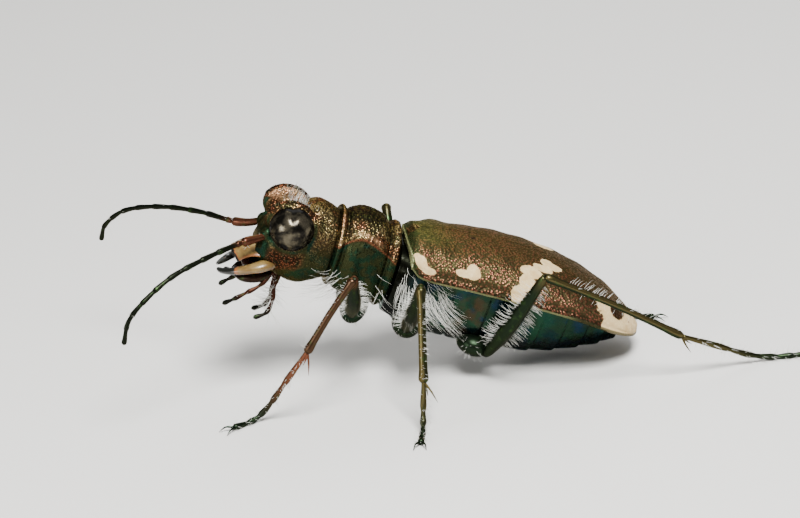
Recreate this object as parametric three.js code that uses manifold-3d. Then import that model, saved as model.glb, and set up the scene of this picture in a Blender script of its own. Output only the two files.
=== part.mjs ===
// A life-size tiger beetle, still, standing on its six feet with the forebody raised.
// Millimetres, +Z up. The head points to -X, so the beetle's left side is towards -Y.
// The trunk is modelled along its own axis: s runs from head to tail, v sideways, h upwards,
// with s = 0 at the front edge of the wing cases. The legs and feelers are placed in the room.
import * as THREE from "three";
import { mergeVertices } from "three/addons/utils/BufferGeometryUtils.js";
import Module from "manifold-3d";

const wasm = await Module();
wasm.setup();

// Driving sizes
const GAP = 0.3; // between two pieces that meet
const WELD = 1e-4;
const PITCH = THREE.MathUtils.degToRad(20); // the trunk slopes down to the tail
const WAIST_X = -3.19; // where s = 0, h = 0 of the trunk lies in the room
const WAIST_Z = 4.38;

const ELYTRA_LENGTH = 9.2;
const ELYTRA_START = -0.3; // the front edge lies over the hind thorax
const ELYTRA_HALF_WIDTH = 2.72;
const ELYTRON_THICK = 0.5;
const SUTURE_SAG = 2.4; // the power of the wing cases' arched section

const EYE = { s: -4.76, v: 1.3, h: 0.56, r: [0.84, 0.84, 0.82], base: 1.2 };

const COXAE = {
  front: { at: [-1.6, 0.72, -1.95], r: [0.55, 0.5, 0.78] },
  mid: { at: [0.5, 0.85, -2.1], r: [0.6, 0.6, 0.65] },
  hind: { at: [3.1, 1.3, -2.15], r: [0.72, 0.8, 0.5] },
};

// Colours and finishes
const metal = (color, roughness = 0.4) =>
  new THREE.MeshStandardMaterial({ color, roughness, metalness: 0.6 });
const COPPER = metal(0x7a4a35);
const BRONZE = metal(0x6b5138);
const GREEN = metal(0x1f4a38, 0.35);
const DARK = metal(0x231d18, 0.5);
const LEG = metal(0x44402a, 0.35);
const EYE_BROWN = new THREE.MeshStandardMaterial({ color: 0x2c241d, roughness: 0.1 });
const CREAM = new THREE.MeshStandardMaterial({ color: 0xd9c08a, roughness: 0.35 });

// Small helpers
const at = (x, y, z) => new THREE.Vector3(x, y, z);
const power = (x, e) => Math.sign(x) * Math.abs(x) ** e;
const bell = (x, centre, width) => Math.exp(-(((x - centre) / width) ** 2));

// A smooth function through a few [x, value] pairs.
function through(pairs) {
  const last = pairs.length - 1;
  const slope = (k) => {
    const [xa, ya] = pairs[Math.max(k - 1, 0)];
    const [xb, yb] = pairs[Math.min(k + 1, last)];
    return (yb - ya) / (xb - xa);
  };
  return (x) => {
    let i = 0;
    while (i < last - 1 && x > pairs[i + 1][0]) i++;
    const [x0, y0] = pairs[i];
    const [x1, y1] = pairs[i + 1];
    const span = x1 - x0;
    const u = THREE.MathUtils.clamp((x - x0) / span, 0, 1);
    const a = y0 * (1 + 2 * u) * (1 - u) ** 2 + y1 * u * u * (3 - 2 * u);
    const b = slope(i) * u * (1 - u) ** 2 - slope(i + 1) * u * u * (1 - u);
    return a + b * span;
  };
}

// From the trunk's own axes to the room's.
function inRoom(s, v, h) {
  return at(s, v, h).applyAxisAngle(at(0, 1, 0), PITCH).add(at(WAIST_X, 0, WAIST_Z));
}

// Solids
function toSolid(geometry) {
  const vertProperties = new Float32Array(geometry.getAttribute("position").array);
  const triVerts = new Uint32Array(geometry.index.array);
  const made = new wasm.Manifold(new wasm.Mesh({ numProp: 3, vertProperties, triVerts }));
  if (made.volume() > 0) return made;
  for (let i = 0; i < triVerts.length; i += 3)
    [triVerts[i + 1], triVerts[i + 2]] = [triVerts[i + 2], triVerts[i + 1]];
  return new wasm.Manifold(new wasm.Mesh({ numProp: 3, vertProperties, triVerts }));
}

// A closed unit form is welded first and then its points are moved, so that its seams stay shut.
function form(unit, place) {
  unit.deleteAttribute("normal");
  unit.deleteAttribute("uv");
  const geometry = mergeVertices(unit, WELD);
  const points = geometry.getAttribute("position");
  for (let i = 0; i < points.count; i++) {
    const p = place(at(points.getX(i), points.getY(i), points.getZ(i)));
    points.setXYZ(i, p.x, p.y, p.z);
  }
  return toSolid(geometry);
}

// A closed tube of rings: place(share, angle, spread) gives each point, and spread is 0 at the
// centre of a cap.
function rings(sides, steps, place) {
  return form(new THREE.CylinderGeometry(1, 1, 1, sides, steps), (p) =>
    place(p.y + 0.5, Math.atan2(p.z, p.x), Math.min(1, Math.hypot(p.x, p.z))),
  );
}

function ball(centre, r, across = 16, down = 10) {
  const unit = new THREE.SphereGeometry(1, across, down).rotateX(Math.PI / 2);
  return form(unit, (p) => at(p.x * r[0], p.y * r[1], p.z * r[2]).add(centre));
}

// Cuts away what lies beyond a plane through a point.
function cutBeyond(piece, point, normal) {
  const side = 80;
  const box = new THREE.BoxGeometry(side, side, side).translate(0, 0, side / 2);
  const turn = new THREE.Quaternion().setFromUnitVectors(at(0, 0, 1), normal.clone().normalize());
  const cutter = form(box, (p) => p.applyQuaternion(turn).add(point));
  return piece.subtract(cutter);
}

// The largest closed surface of a solid, with slivers welded shut.
function largest(piece) {
  const bodies = piece.decompose().sort((a, b) => b.volume() - a.volume());
  return bodies[0];
}

function meshOf(name, piece, material) {
  const got = largest(piece).getMesh();
  const geometry = new THREE.BufferGeometry();
  geometry.setAttribute("position", new THREE.BufferAttribute(got.vertProperties, 3));
  geometry.setIndex(new THREE.BufferAttribute(got.triVerts, 1));
  const mesh = new THREE.Mesh(geometry, material);
  mesh.name = name;
  return mesh;
}

// A limb: rings given as [distance along the path, radius], round in section or flattened.
function limb(points, profile, { sides = 8, flat = 1 } = {}) {
  const curve = new THREE.CatmullRomCurve3(points, false, "centripetal");
  curve.arcLengthDivisions = 60;
  const length = curve.getLength();
  const up = at(0.05, 0.02, 1).normalize();
  return rings(sides, profile.length - 1, (share, angle, spread) => {
    const [distance, radius] = profile[Math.round(share * (profile.length - 1))];
    const u = THREE.MathUtils.clamp(distance / length, 0, 1);
    const along = curve.getTangentAt(u);
    const centre = curve.getPointAt(u).addScaledVector(along, distance - u * length);
    const side = at(0, 0, 0).crossVectors(along, up).normalize();
    const other = at(0, 0, 0).crossVectors(side, along);
    const reach = radius * spread;
    return centre
      .addScaledVector(side, Math.cos(angle) * reach)
      .addScaledVector(other, Math.sin(angle) * reach * flat);
  });
}

// The rings that round off a limb's start or end.
const roundStart = (r) => [
  [-0.92 * r, 0.38 * r],
  [-0.6 * r, 0.8 * r],
];
const roundEnd = (length, r) => [
  [length + 0.6 * r, 0.8 * r],
  [length + 0.92 * r, 0.38 * r],
];

// A spine or claw: a slender bent cone that starts inside what it grows from.
function spine(from, middle, tip, radius, sides = 6) {
  const length = from.distanceTo(middle) + middle.distanceTo(tip);
  const profile = [
    [0, radius],
    [length * 0.5, radius * 0.75],
    [length, radius * 0.25],
  ];
  return limb([from, middle, tip], profile, { sides });
}

// Splits two limbs that meet at a joint along the plane halfway between their headings.
function mitre(joint, before, after) {
  const heading = joint.clone().sub(before).normalize();
  heading.add(after.clone().sub(joint).normalize()).normalize();
  const half = heading.clone().multiplyScalar(GAP / 2);
  return {
    nearSide: (piece) => cutBeyond(piece, joint.clone().sub(half), heading),
    farSide: (piece) => cutBeyond(piece, joint.clone().add(half), heading.clone().negate()),
  };
}

// The trunk's section: half width, top, bottom and the height where it is widest.
function trunkForm(s0, s1, steps, sides, section, bulge = 1) {
  return rings(sides, steps, (share, angle, spread) => {
    const s = s0 + (s1 - s0) * share;
    const { wide, top, bottom, middle } = section(s);
    const c = power(Math.cos(angle), bulge) * spread;
    const k = power(Math.sin(angle), bulge) * spread;
    return at(s, wide * c, middle + (k > 0 ? top - middle : middle - bottom) * k);
  });
}

// Wing cases
const elytraTop = through([
  [0, 1.38], [1.8, 1.6], [3.8, 1.62], [5.8, 1.33],
  [7.6, 0.74], [8.6, 0.16], [9.2, -0.32],
]);
const elytraEdge = through([
  [0, 0.02], [1, 0.1], [4, 0.16], [6.5, 0],
  [8.2, -0.42], [9.2, -0.72],
]);
function elytraHalfWidth(s) {
  const u = THREE.MathUtils.clamp(s / ELYTRA_LENGTH, 0, 1);
  const shoulder = 1 - 0.14 * bell(u, 0, 0.05);
  const widening = 0.86 + 0.14 * THREE.MathUtils.smoothstep(u, 0, 0.55);
  const tail = u < 0.58 ? 1 : (1 - ((u - 0.58) / 0.423) ** 2.7) ** 0.55;
  return ELYTRA_HALF_WIDTH * shoulder * widening * tail;
}
function elytronThick(s) {
  const rise = elytraTop(s) - elytraEdge(s);
  return Math.min(ELYTRON_THICK, 0.75 * rise, 0.6 * elytraHalfWidth(s));
}
function elytron(side) {
  const along = 22;
  const across = 10;
  const unit = new THREE.BoxGeometry(1, 1, 1, along, across, 1);
  return form(unit, (p) => {
    const s = ELYTRA_START + (ELYTRA_LENGTH - ELYTRA_START) * (p.x + 0.5);
    const angle = (p.y + 0.5) * (Math.PI / 2);
    const edge = elytraEdge(s);
    const rise = elytraTop(s) - edge;
    const wide = elytraHalfWidth(s);
    const thick = p.z > 0 ? 0 : elytronThick(s);
    const v = (wide - thick) * power(Math.cos(angle), 2 / SUTURE_SAG);
    const front = 1 - 0.2 * bell(s, ELYTRA_START, 0.3);
    const h = edge + (rise - thick) * front * power(Math.sin(angle), 2 / SUTURE_SAG);
    return at(s, side * Math.max(v, GAP / 2), h);
  });
}

// Prothorax, with a collar at each end and a furrow behind each collar
const prothoraxTop = through([
  [-2.95, 1.5], [-2.72, 1.42], [-2.1, 1.62], [-1.4, 1.52],
  [-0.98, 1.28], [-0.68, 1.34],
]);
const prothoraxWide = through([
  [-2.95, 1.42], [-2.72, 1.38], [-2.1, 1.64], [-1.4, 1.56],
  [-0.98, 1.4], [-0.68, 1.46],
]);
const prothoraxBottom = through([[-2.95, -1.5], [-2.1, -1.8], [-1.2, -1.85], [-0.68, -1.5]]);
const PROTHORAX = [-2.95, -0.68];
function prothoraxForm(grow = 0) {
  return trunkForm(PROTHORAX[0] - grow, PROTHORAX[1] + grow, 12, 28, (s) => ({
    wide: prothoraxWide(s) + grow,
    top: prothoraxTop(s) + grow,
    bottom: prothoraxBottom(s) - grow,
    middle: 0.1,
  }));
}

// Head, with a ridge over each eye and a hollow between the ridges
const HEAD = [-5.78, PROTHORAX[0] - GAP];
const headTop = through([
  [-5.78, -0.35], [-5.68, 0.1], [-5.4, 0.7], [-5, 1.08],
  [-4.3, 1.36], [-3.7, 1.55], [-3.25, 1.46],
]);
const headWide = through([
  [-5.78, 0.82], [-5.55, 1.06], [-5.25, 1.24], [-4.8, 1.38],
  [-4, 1.44], [-3.25, 1.36],
]);
const headBottom = through([
  [-5.78, -0.95], [-5.5, -1.25], [-5, -1.5], [-4.3, -1.74],
  [-3.7, -1.7], [-3.25, -1.46],
]);
function headForm(grow = 0) {
  const skin = trunkForm(HEAD[0] - grow, HEAD[1] + grow, 16, 32, (s) => ({
    wide: headWide(s) + grow,
    top: headTop(s) + grow,
    bottom: headBottom(s) - grow,
    middle: -0.15 - 0.5 * THREE.MathUtils.smoothstep(-s, 4.8, 5.78),
  }), 0.86);
  if (grow) return skin;
  const ridge = (side) => ball(at(-4.82, side * 0.92, 0.78), [0.95, 0.3, 0.76], 14, 10);
  return skin.add(ridge(1)).add(ridge(-1));
}
function eyeForm(side, grow = 0) {
  const centre = at(EYE.s, side * EYE.v, EYE.h);
  const whole = ball(centre, EYE.r.map((r) => r + grow), 20, 14);
  return cutBeyond(whole, at(0, side * (EYE.base - grow), 0), at(0, -side, 0));
}

// Middle and hind thorax and the abdomen share one run of sections under the wing cases.
const bellyWide = through([
  [-0.4, 1.3], [0.2, 1.7], [1.5, 2.05], [4, 2.2],
  [6.2, 1.9], [7.6, 1.25], [8.5, 0.5],
]);
const bellyBottom = through([
  [-0.4, -1.4], [0.3, -2.05], [1.6, -2.42], [4.2, -2.42],
  [6, -2.08], [7.6, -1.5], [8.5, -1.12],
]);
function bellySection(s) {
  const ledge = elytraEdge(s) - GAP;
  const inner = elytronThick(s) + GAP;
  return {
    roof: Math.max(ledge + 0.05, elytraTop(s) - inner - 0.05),
    roofWide: Math.max(0.3, Math.min(elytraHalfWidth(Math.max(s, 0.35)) - inner, bellyWide(s))),
    wide: bellyWide(s),
    ledge,
    bottom: bellyBottom(s),
  };
}
function bellyForm(s0, s1, steps) {
  return rings(24, steps, (share, angle, spread) => {
    const s = s0 + (s1 - s0) * share;
    const { roof, roofWide, wide, ledge, bottom } = bellySection(s);
    const c = Math.cos(angle) * spread;
    const k = Math.sin(angle) * spread;
    const above = k > -1e-6;
    return at(s, (above ? roofWide : wide) * c, ledge + (above ? roof - ledge : ledge - bottom) * k);
  });
}
const THORAX_END = 2.75;
const SCUTELLUM = { at: at(-0.12, 0, 0.8), r: [0.3, 0.42, 0.52] };
const ABDOMEN = [THORAX_END + GAP, 8.45];

// Coxae, sunk in sockets of the trunk
function coxaForm(leg, side, grow = 0) {
  const { at: [s, v, h], r } = COXAE[leg];
  return ball(at(s, side * v, h), r.map((x) => x + grow), 12, 8);
}
function sockets(piece, legs) {
  for (const leg of legs)
    for (const side of [-1, 1]) piece = piece.subtract(coxaForm(leg, side, GAP));
  return piece;
}

// Legs in the room: knee, ankle, where the foot meets the floor, and its tip
const FOOT_HEIGHT = 0.17;
const LEGS = {
  front: {
    left: {
      knee: [-5.5, -4.0, 5.34], ankle: [-7.47, -4.3, 2.77],
      touch: [-9.35, -3.6, 0], tip: [-10.41, -4.31, 0],
    },
    right: {
      knee: [-4.95, 3.7, 4.6], ankle: [-4.85, 5.0, 2.2],
      touch: [-4.9, 6.0, 0], tip: [-5.2, 7.6, 0],
    },
  },
  mid: {
    left: {
      knee: [-3.1, -4.2, 4.84], ankle: [-3.38, -5.7, 1.68],
      touch: [-3.6, -6.5, 0], tip: [-3.8, -7.57, 0],
    },
    right: {
      knee: [-3.52, 4.0, 5.2], ankle: [-3.4, 5.6, 2.1],
      touch: [-3.0, 6.6, 0], tip: [-2.6, 7.8, 0],
    },
  },
  hind: {
    left: {
      knee: [1.47, -4.2, 4.73], ankle: [6.5, -3.8, 1.68],
      touch: [9.6, -2.9, 0], tip: [11.7, -2.9, 0],
    },
    right: {
      knee: [-0.9, 3.6, 3.9], ankle: [3.3, 3.5, 1.1],
      touch: [4.6, 3.2, 0], tip: [6.4, 2.4, 0],
    },
  },
};
const FEMUR = { front: 0.4, mid: 0.4, hind: 0.42 };
const KNEE = 0.29;
const SHANK = 0.25;
const TARSOMERES = [0.36, 0.2, 0.16, 0.11, 0.17];

function femurRoot(leg, side) {
  const { at: [s, v, h], r } = COXAE[leg];
  const outwards = leg === "hind" ? 0.5 : 0.1;
  return inRoom(s + (leg === "hind" ? 0.4 : 0), side * (v + outwards), h - 0.5 * r[2]);
}
function femur(leg, side, knee, ankle) {
  const root = femurRoot(leg, side);
  const bend = root.clone().lerp(knee, 0.45).add(at(0, side * 0.28, 0));
  const length = root.distanceTo(bend) + bend.distanceTo(knee);
  const thick = FEMUR[leg];
  const profile = [
    [0, 0.26],
    [0.16 * length, 0.32],
    [0.36 * length, thick],
    [0.56 * length, thick * 0.96],
    [0.8 * length, 0.31],
    [0.94 * length, KNEE],
    [length, KNEE],
    ...roundEnd(length, KNEE),
  ];
  const whole = limb([root, bend, knee], profile, { sides: 10 });
  return mitre(knee, bend, ankle).nearSide(whole);
}

function tibia(side, knee, ankle, root, touch) {
  const length = knee.distanceTo(ankle);
  const profile = [
    ...roundStart(KNEE),
    [0, KNEE],
    [0.14 * length, SHANK],
    [0.55 * length, SHANK],
    [0.9 * length, 0.29],
    [length, 0.28],
    ...roundEnd(length, 0.28),
  ];
  const whole = limb([knee, knee.clone().lerp(ankle, 0.5), ankle], profile);
  const cut = mitre(ankle, knee, touch).nearSide(mitre(knee, root, ankle).farSide(whole));
  const along = ankle.clone().sub(knee).normalize();
  const from = ankle.clone().addScaledVector(along, -0.45);
  const outward = at(-along.z, side * 0.35, along.x).normalize();
  if (outward.z > 0) outward.negate();
  const bend = from.clone().addScaledVector(along, 0.35).addScaledVector(outward, 0.36);
  const tip = from.clone().addScaledVector(along, 0.75).addScaledVector(outward, 0.78);
  return cut.add(spine(from, bend, tip, 0.13));
}

function tarsus(ankle, knee, touch, tip) {
  const heel = touch.clone().setZ(FOOT_HEIGHT);
  const toe = tip.clone().setZ(FOOT_HEIGHT);
  const turn = ankle.clone().lerp(heel, 0.86);
  const rest = heel.clone().lerp(toe, 0.25);
  const points = [ankle, ankle.clone().lerp(heel, 0.45), turn, rest, toe];
  const length = new THREE.CatmullRomCurve3(points, false, "centripetal").getLength();
  const profile = [...roundStart(0.26), [0, 0.26]];
  let start = 0;
  for (const share of TARSOMERES) {
    const end = start + share * length;
    profile.push([start + 0.25 * (end - start), 0.245]);
    profile.push([end - 0.1, 0.29]);
    profile.push([end - 0.02, 0.25]);
    start = end;
  }
  let foot = mitre(ankle, knee, touch).farSide(limb(points, profile));
  const ahead = toe.clone().sub(rest).normalize();
  const across = at(-ahead.y, ahead.x, 0);
  for (const side of [-1, 1]) {
    const from = toe.clone().addScaledVector(ahead, -0.2).addScaledVector(across, side * 0.06);
    const bend = toe.clone().addScaledVector(ahead, 0.22).addScaledVector(across, side * 0.24);
    const end = toe.clone().addScaledVector(ahead, 0.5).addScaledVector(across, side * 0.3);
    bend.z += 0.05;
    end.z -= 0.08;
    foot = foot.add(spine(from, bend, end, 0.13));
  }
  return cutBeyond(foot, at(0, 0, 0), at(0, 0, -1));
}

// Feelers, in the trunk's own axes: eleven joints each, parted into four lengths
const ANTENNOMERES = [0.9, 0.32, 1.1, 0.9, 0.92, 0.88, 0.82, 0.76, 0.7, 0.64, 0.66];
const ANTENNA_SPLITS = [2, 5, 8]; // joints after which the feeler is parted
const ANTENNAE = {
  left: [
    [-5.35, -0.85, 0.05], [-6.06, -1.15, -0.26], [-6.58, -1.42, -0.47], [-7.59, -2.2, -0.93],
    [-8.78, -3.05, -1.66], [-9.53, -3.55, -2.5], [-10.04, -3.9, -3.44], [-10, -4, -4.37],
  ],
  right: [
    [-5.35, 0.85, 0.05], [-5.99, 1.1, -0.34], [-6.52, 1.42, -0.54], [-7.59, 2.75, -0.91],
    [-8.92, 4.2, -1.54], [-10.03, 5.4, -2.4], [-10.52, 6.2, -3.41], [-10.47, 6.6, -4.19],
  ],
};
function antenna(name) {
  const points = ANTENNAE[name].map((p) => at(...p));
  const curve = new THREE.CatmullRomCurve3(points, false, "centripetal");
  const length = curve.getLength();
  const hidden = 0.5; // the length of the root that lies in the head
  const total = ANTENNOMERES.reduce((a, b) => a + b, 0);
  const scale = (length - hidden) / total;
  const joints = [hidden];
  for (const one of ANTENNOMERES) joints.push(joints[joints.length - 1] + one * scale);
  const bounds = [-GAP, ...ANTENNA_SPLITS.map((n) => joints[n]), length + GAP];
  return bounds.slice(1).map((end, i) => {
    const start = bounds[i] + (i ? GAP / 2 : GAP);
    const stop = end - (i < ANTENNA_SPLITS.length ? GAP / 2 : GAP);
    const profile = [[start, i ? 0.26 : 0.2]];
    joints.forEach((joint, n) => {
      const thick = n === 1 ? 0.31 : 0.285 - 0.008 * n;
      const waist = (n === 2 ? 0.24 : 0.25) - 0.008 * n;
      for (const [d, r] of [[joint - 0.14, thick], [joint + 0.1, waist]])
        if (d > start + 0.04 && d < stop - 0.04) profile.push([d, r]);
    });
    profile.push([stop, i < ANTENNA_SPLITS.length ? 0.26 : 0.12]);
    return limb(points, profile, { sides: 8 });
  });
}

// Mouth parts, in the trunk's own axes
function labrum() {
  const unit = new THREE.BoxGeometry(1, 1, 1, 5, 8, 1);
  return form(unit, (p) => {
    const u = p.x + 0.5;
    const across = p.y * 2;
    const tooth = 0.16 * bell(across, 0, 0.22) * u;
    const forward = 0.95 * u * (1 - 0.22 * across * across) + tooth;
    const droop = 0.42 * u * u + 0.16 * across * across;
    return at(-5.6 - forward, across * (0.98 - 0.14 * u), -0.78 - droop + (p.z - 0.5) * 0.42);
  });
}
function mandible(side, grow = 0) {
  const tip = side < 0 ? -0.12 : 0.26;
  const points = [
    at(-4.9, side * 0.75, -1.1),
    at(-5.5, side * 1.05, -1.35),
    at(-6.2, side * 0.95, -1.68),
    at(-6.7, side * 0.5, -1.95),
    at(-6.86, tip, -2.0),
  ];
  const length = new THREE.CatmullRomCurve3(points, false, "centripetal").getLength();
  const profile = [
    [0, 0.34],
    [0.25 * length, 0.34],
    [0.5 * length, 0.3],
    [0.72 * length, 0.26],
    [0.88 * length, 0.2],
    [length, 0.08],
  ];
  const grown = profile.map(([distance, radius]) => [distance, radius + grow * 1.4]);
  return limb(points, grown, { sides: 10, flat: 0.7 });
}

// Palps, in the trunk's own axes, each rooted under the head
const PALPS = {
  palp_maxillary: [
    [-4.7, 0.9, -1.5], [-5.05, 1.05, -2.2], [-5.6, 1.12, -2.6],
    [-6.1, 1.12, -2.9], [-6.5, 1.05, -3.12],
  ],
  palp_labial: [
    [-4.4, 0.32, -1.5], [-4.55, 0.34, -2.1], [-4.68, 0.36, -2.65],
    [-4.98, 0.4, -3.12], [-5.3, 0.44, -3.42],
  ],
};
function palp(name, side) {
  const path = PALPS[name].map(([s, v, h]) => at(s, side * v, h));
  const length = new THREE.CatmullRomCurve3(path, false, "centripetal").getLength();
  const profile = [[0, 0.2]];
  for (const share of [0.3, 0.56, 0.8])
    for (const [d, r] of [[share - 0.05, 0.28], [share + 0.03, 0.24]]) profile.push([d * length, r]);
  profile.push([0.92 * length, 0.27], [length, 0.16]);
  return limb(path, profile, { sides: 8 });
}

// Assembly
const beetle = new THREE.Group();
const trunk = new THREE.Group();
trunk.rotation.y = PITCH;
trunk.position.set(WAIST_X, 0, WAIST_Z);
beetle.add(trunk);
const toRoom = (piece) => {
  const turned = new THREE.Matrix4().makeRotationY(PITCH).setPosition(WAIST_X, 0, WAIST_Z);
  return piece.transform(turned.elements);
};

const head = headForm();
const grownHead = headForm(GAP);
let headSolid = head;
for (const side of [-1, 1]) headSolid = headSolid.subtract(eyeForm(side, GAP));
trunk.add(meshOf("head", headSolid, COPPER));
const lip = labrum().subtract(grownHead).subtract(mandible(-1, GAP)).subtract(mandible(1, GAP));
trunk.add(meshOf("labrum", lip, CREAM));
trunk.add(meshOf("prothorax", sockets(prothoraxForm(), ["front"]), COPPER));

const scutellum = (grow = 0) => ball(SCUTELLUM.at, SCUTELLUM.r.map((r) => r + grow), 12, 8);
const thorax = bellyForm(PROTHORAX[1] + GAP, THORAX_END, 9).add(scutellum());
trunk.add(meshOf("hind_thorax", sockets(thorax, ["mid", "hind"]), GREEN));
trunk.add(meshOf("abdomen", sockets(bellyForm(ABDOMEN[0], ABDOMEN[1], 15), ["hind"]), GREEN));

const sides = [["left", -1], ["right", 1]];
for (const [name, side] of sides) {
  trunk.add(meshOf(`eye_${name}`, eyeForm(side), EYE_BROWN));
  trunk.add(meshOf(`mandible_${name}`, mandible(side).subtract(grownHead), CREAM));
  trunk.add(meshOf(`elytron_${name}`, elytron(side).subtract(scutellum(GAP)), BRONZE));
  for (const part of Object.keys(PALPS)) {
    const freed = palp(part, side).subtract(grownHead).subtract(mandible(side, GAP));
    trunk.add(meshOf(`${part}_${name}`, freed, DARK));
  }
  antenna(name).forEach((piece, i) => {
    const label = `antenna_${name}_${["scape", "base", "middle", "tip"][i]}`;
    trunk.add(meshOf(label, i ? piece : piece.subtract(grownHead), DARK));
  });
  for (const leg of Object.keys(LEGS)) {
    const places = LEGS[leg][name];
    const [knee, ankle, touch, tip] = ["knee", "ankle", "touch", "tip"].map((k) => at(...places[k]));
    const root = femurRoot(leg, side);
    trunk.add(meshOf(`coxa_${leg}_${name}`, coxaForm(leg, side), GREEN));
    const thigh = femur(leg, side, knee, ankle).subtract(toRoom(coxaForm(leg, side, GAP)));
    beetle.add(meshOf(`femur_${leg}_${name}`, thigh, LEG));
    beetle.add(meshOf(`tibia_${leg}_${name}`, tibia(side, knee, ankle, root, touch), LEG));
    beetle.add(meshOf(`tarsus_${leg}_${name}`, tarsus(ankle, knee, touch, tip), LEG));
  }
}

// The origin is on the floor, under the middle of the whole animal.
beetle.updateMatrixWorld(true);
const middle = new THREE.Box3().setFromObject(beetle, true).getCenter(at(0, 0, 0));
beetle.position.set(-middle.x, -middle.y, 0);

export default beetle;
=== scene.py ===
# %% [markdown]
# # A tiger beetle, life-size
# A tiger beetle is a long-legged hunting beetle. This one is about 16 mm long from the tips of
# its jaws to the tips of its wing cases.
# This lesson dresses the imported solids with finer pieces: shells, eyes, jaws, legs and bristles.
# The trunk is described along its own axis, s from head to tail, v sideways and h upwards,
# in millimetres, with s = 0 at the front of the wing cases. One function puts such a point
# in the room, so every piece stays where its solid is.

# %% Tools and frame
import math

import bmesh
import bpy
import numpy as np
from mathutils import Matrix, Vector


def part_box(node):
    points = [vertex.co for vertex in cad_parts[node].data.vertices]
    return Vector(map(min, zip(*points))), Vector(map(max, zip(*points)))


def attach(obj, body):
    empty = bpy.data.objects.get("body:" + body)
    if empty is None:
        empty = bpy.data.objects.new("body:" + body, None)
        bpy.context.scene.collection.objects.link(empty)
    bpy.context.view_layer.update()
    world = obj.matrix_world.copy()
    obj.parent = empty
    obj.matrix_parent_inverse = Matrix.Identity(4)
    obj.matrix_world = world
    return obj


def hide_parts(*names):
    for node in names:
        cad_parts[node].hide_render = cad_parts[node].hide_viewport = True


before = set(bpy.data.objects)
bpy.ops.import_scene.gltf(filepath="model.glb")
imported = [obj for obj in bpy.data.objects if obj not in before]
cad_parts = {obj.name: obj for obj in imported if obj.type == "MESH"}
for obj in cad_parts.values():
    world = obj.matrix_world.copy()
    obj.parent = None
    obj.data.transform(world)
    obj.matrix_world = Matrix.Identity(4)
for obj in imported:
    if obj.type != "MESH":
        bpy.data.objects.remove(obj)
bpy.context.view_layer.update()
print("frame loaded with", len(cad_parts), "nodes")

# %% [markdown]
# ## From the beetle's own axes to the room
# The trunk slopes down to the tail by 20 degrees. Its solids sit in the frame with the whole
# animal centred on the floor. How far that moved them is read from the box of the left eye.

# %% The trunk's place
MM = 0.001
SIDES = (("left", -1), ("right", 1))
PITCH = math.radians(20)
WAIST = np.array([-3.19, 0.0, 4.38])
EYE_AT = np.array([-4.76, 1.3, 0.56])
EYE_R = np.array([0.84, 0.84, 0.82])


def trunk_to_room(points):
    """Trunk millimetres (s, v, h) to room millimetres, before the animal was centred."""
    s, v, h = np.moveaxis(np.asarray(points, float), -1, 0)
    x = s * math.cos(PITCH) + h * math.sin(PITCH)
    z = -s * math.sin(PITCH) + h * math.cos(PITCH)
    return np.stack([x, v, z], -1) + WAIST


eye_box = np.array(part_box("eye_left")) / MM
SHIFT = np.array(
    [
        eye_box[:, 0].mean() - trunk_to_room(EYE_AT * [1, -1, 1])[0],
        eye_box[0, 1] + EYE_AT[1] + EYE_R[1],
        0.0,
    ]
)
print("the animal was moved by", SHIFT.round(4), "mm")

# %% [markdown]
# ## Smooth profiles
# A shell's outline is a few sizes along its length with a smooth curve through them.
# Each segment of the curve is a cubic whose slope at a point follows its two neighbours.


# %% Curves and grids
TURN = 2 * math.pi


def through(pairs):
    """A function whose smooth curve passes through pairs of (x, y)."""
    xs, ys = np.array(pairs, float).T
    ahead = np.append(xs[1:], xs[-1]), np.append(ys[1:], ys[-1])
    behind = np.insert(xs[:-1], 0, xs[0]), np.insert(ys[:-1], 0, ys[0])
    slope = (ahead[1] - behind[1]) / (ahead[0] - behind[0])

    def value(x):
        x = np.asarray(x, float)
        i = np.clip(np.searchsorted(xs, x, side="right") - 1, 0, len(xs) - 2)
        span = xs[i + 1] - xs[i]
        u = np.clip((x - xs[i]) / span, 0, 1)
        ends = ys[i] * (1 + 2 * u) * (1 - u) ** 2 + ys[i + 1] * u * u * (3 - 2 * u)
        return ends + span * (slope[i] * u * (1 - u) ** 2 - slope[i + 1] * u * u * (1 - u))

    return value


def bell(x, centre, width):
    """A rounded bump, 1 at its centre."""
    return np.exp(-(((np.asarray(x) - centre) / width) ** 2))


def step(x, low, high):
    """0 below low, 1 above high and smooth in between."""
    u = np.clip((np.asarray(x, float) - low) / (high - low), 0, 1)
    return u * u * (3 - 2 * u)


def power(x, e):
    """A power that keeps the sign, which makes an ellipse squarer or more pointed."""
    return np.sign(x) * np.abs(x) ** e


def joined(*parts):
    """Coordinates of a grid, stretched to one shape and joined as the parts of each point."""
    return np.stack(np.broadcast_arrays(*parts), -1)


def round_angles(count):
    """Angles once round a ring; the last stops one part short of the first."""
    return np.linspace(0, TURN, count, endpoint=False)[None, :]


def outward(angle):
    """The direction from a ring's middle to each of its points, as (s, v, h)."""
    return joined(0, np.cos(angle), np.sin(angle))


rise = through([[0, 0], [1, 1], [2, 4]])
print("the curve through 0, 1 and 4 reads", float(rise(1.5)), "half way along its second part")


# %% [markdown]
# ## Shapes made of rings
# Most of an insect is tubes: a row of closed rings with a cap at each end. A Shape collects
# such tubes, and each of its points keeps four things for later: lie, its place on the
# surface, which patterns and bristles follow, hair, how dense the bristles grow, comb, which
# way they lean, and tone, a shade from 0 to 1 that a material reads.


# %% The shape collector
POINT_KEYS = ("lie", "tone", "hair", "comb")


def store_values(mesh, key, values):
    """Keeps a number or a vector with each point of a mesh."""
    vectors = values.ndim == 2
    store = mesh.attributes.new(key, "FLOAT_VECTOR" if vectors else "FLOAT", "POINT").data
    store.foreach_set("vector" if vectors else "value", np.ascontiguousarray(values).ravel())


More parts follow.
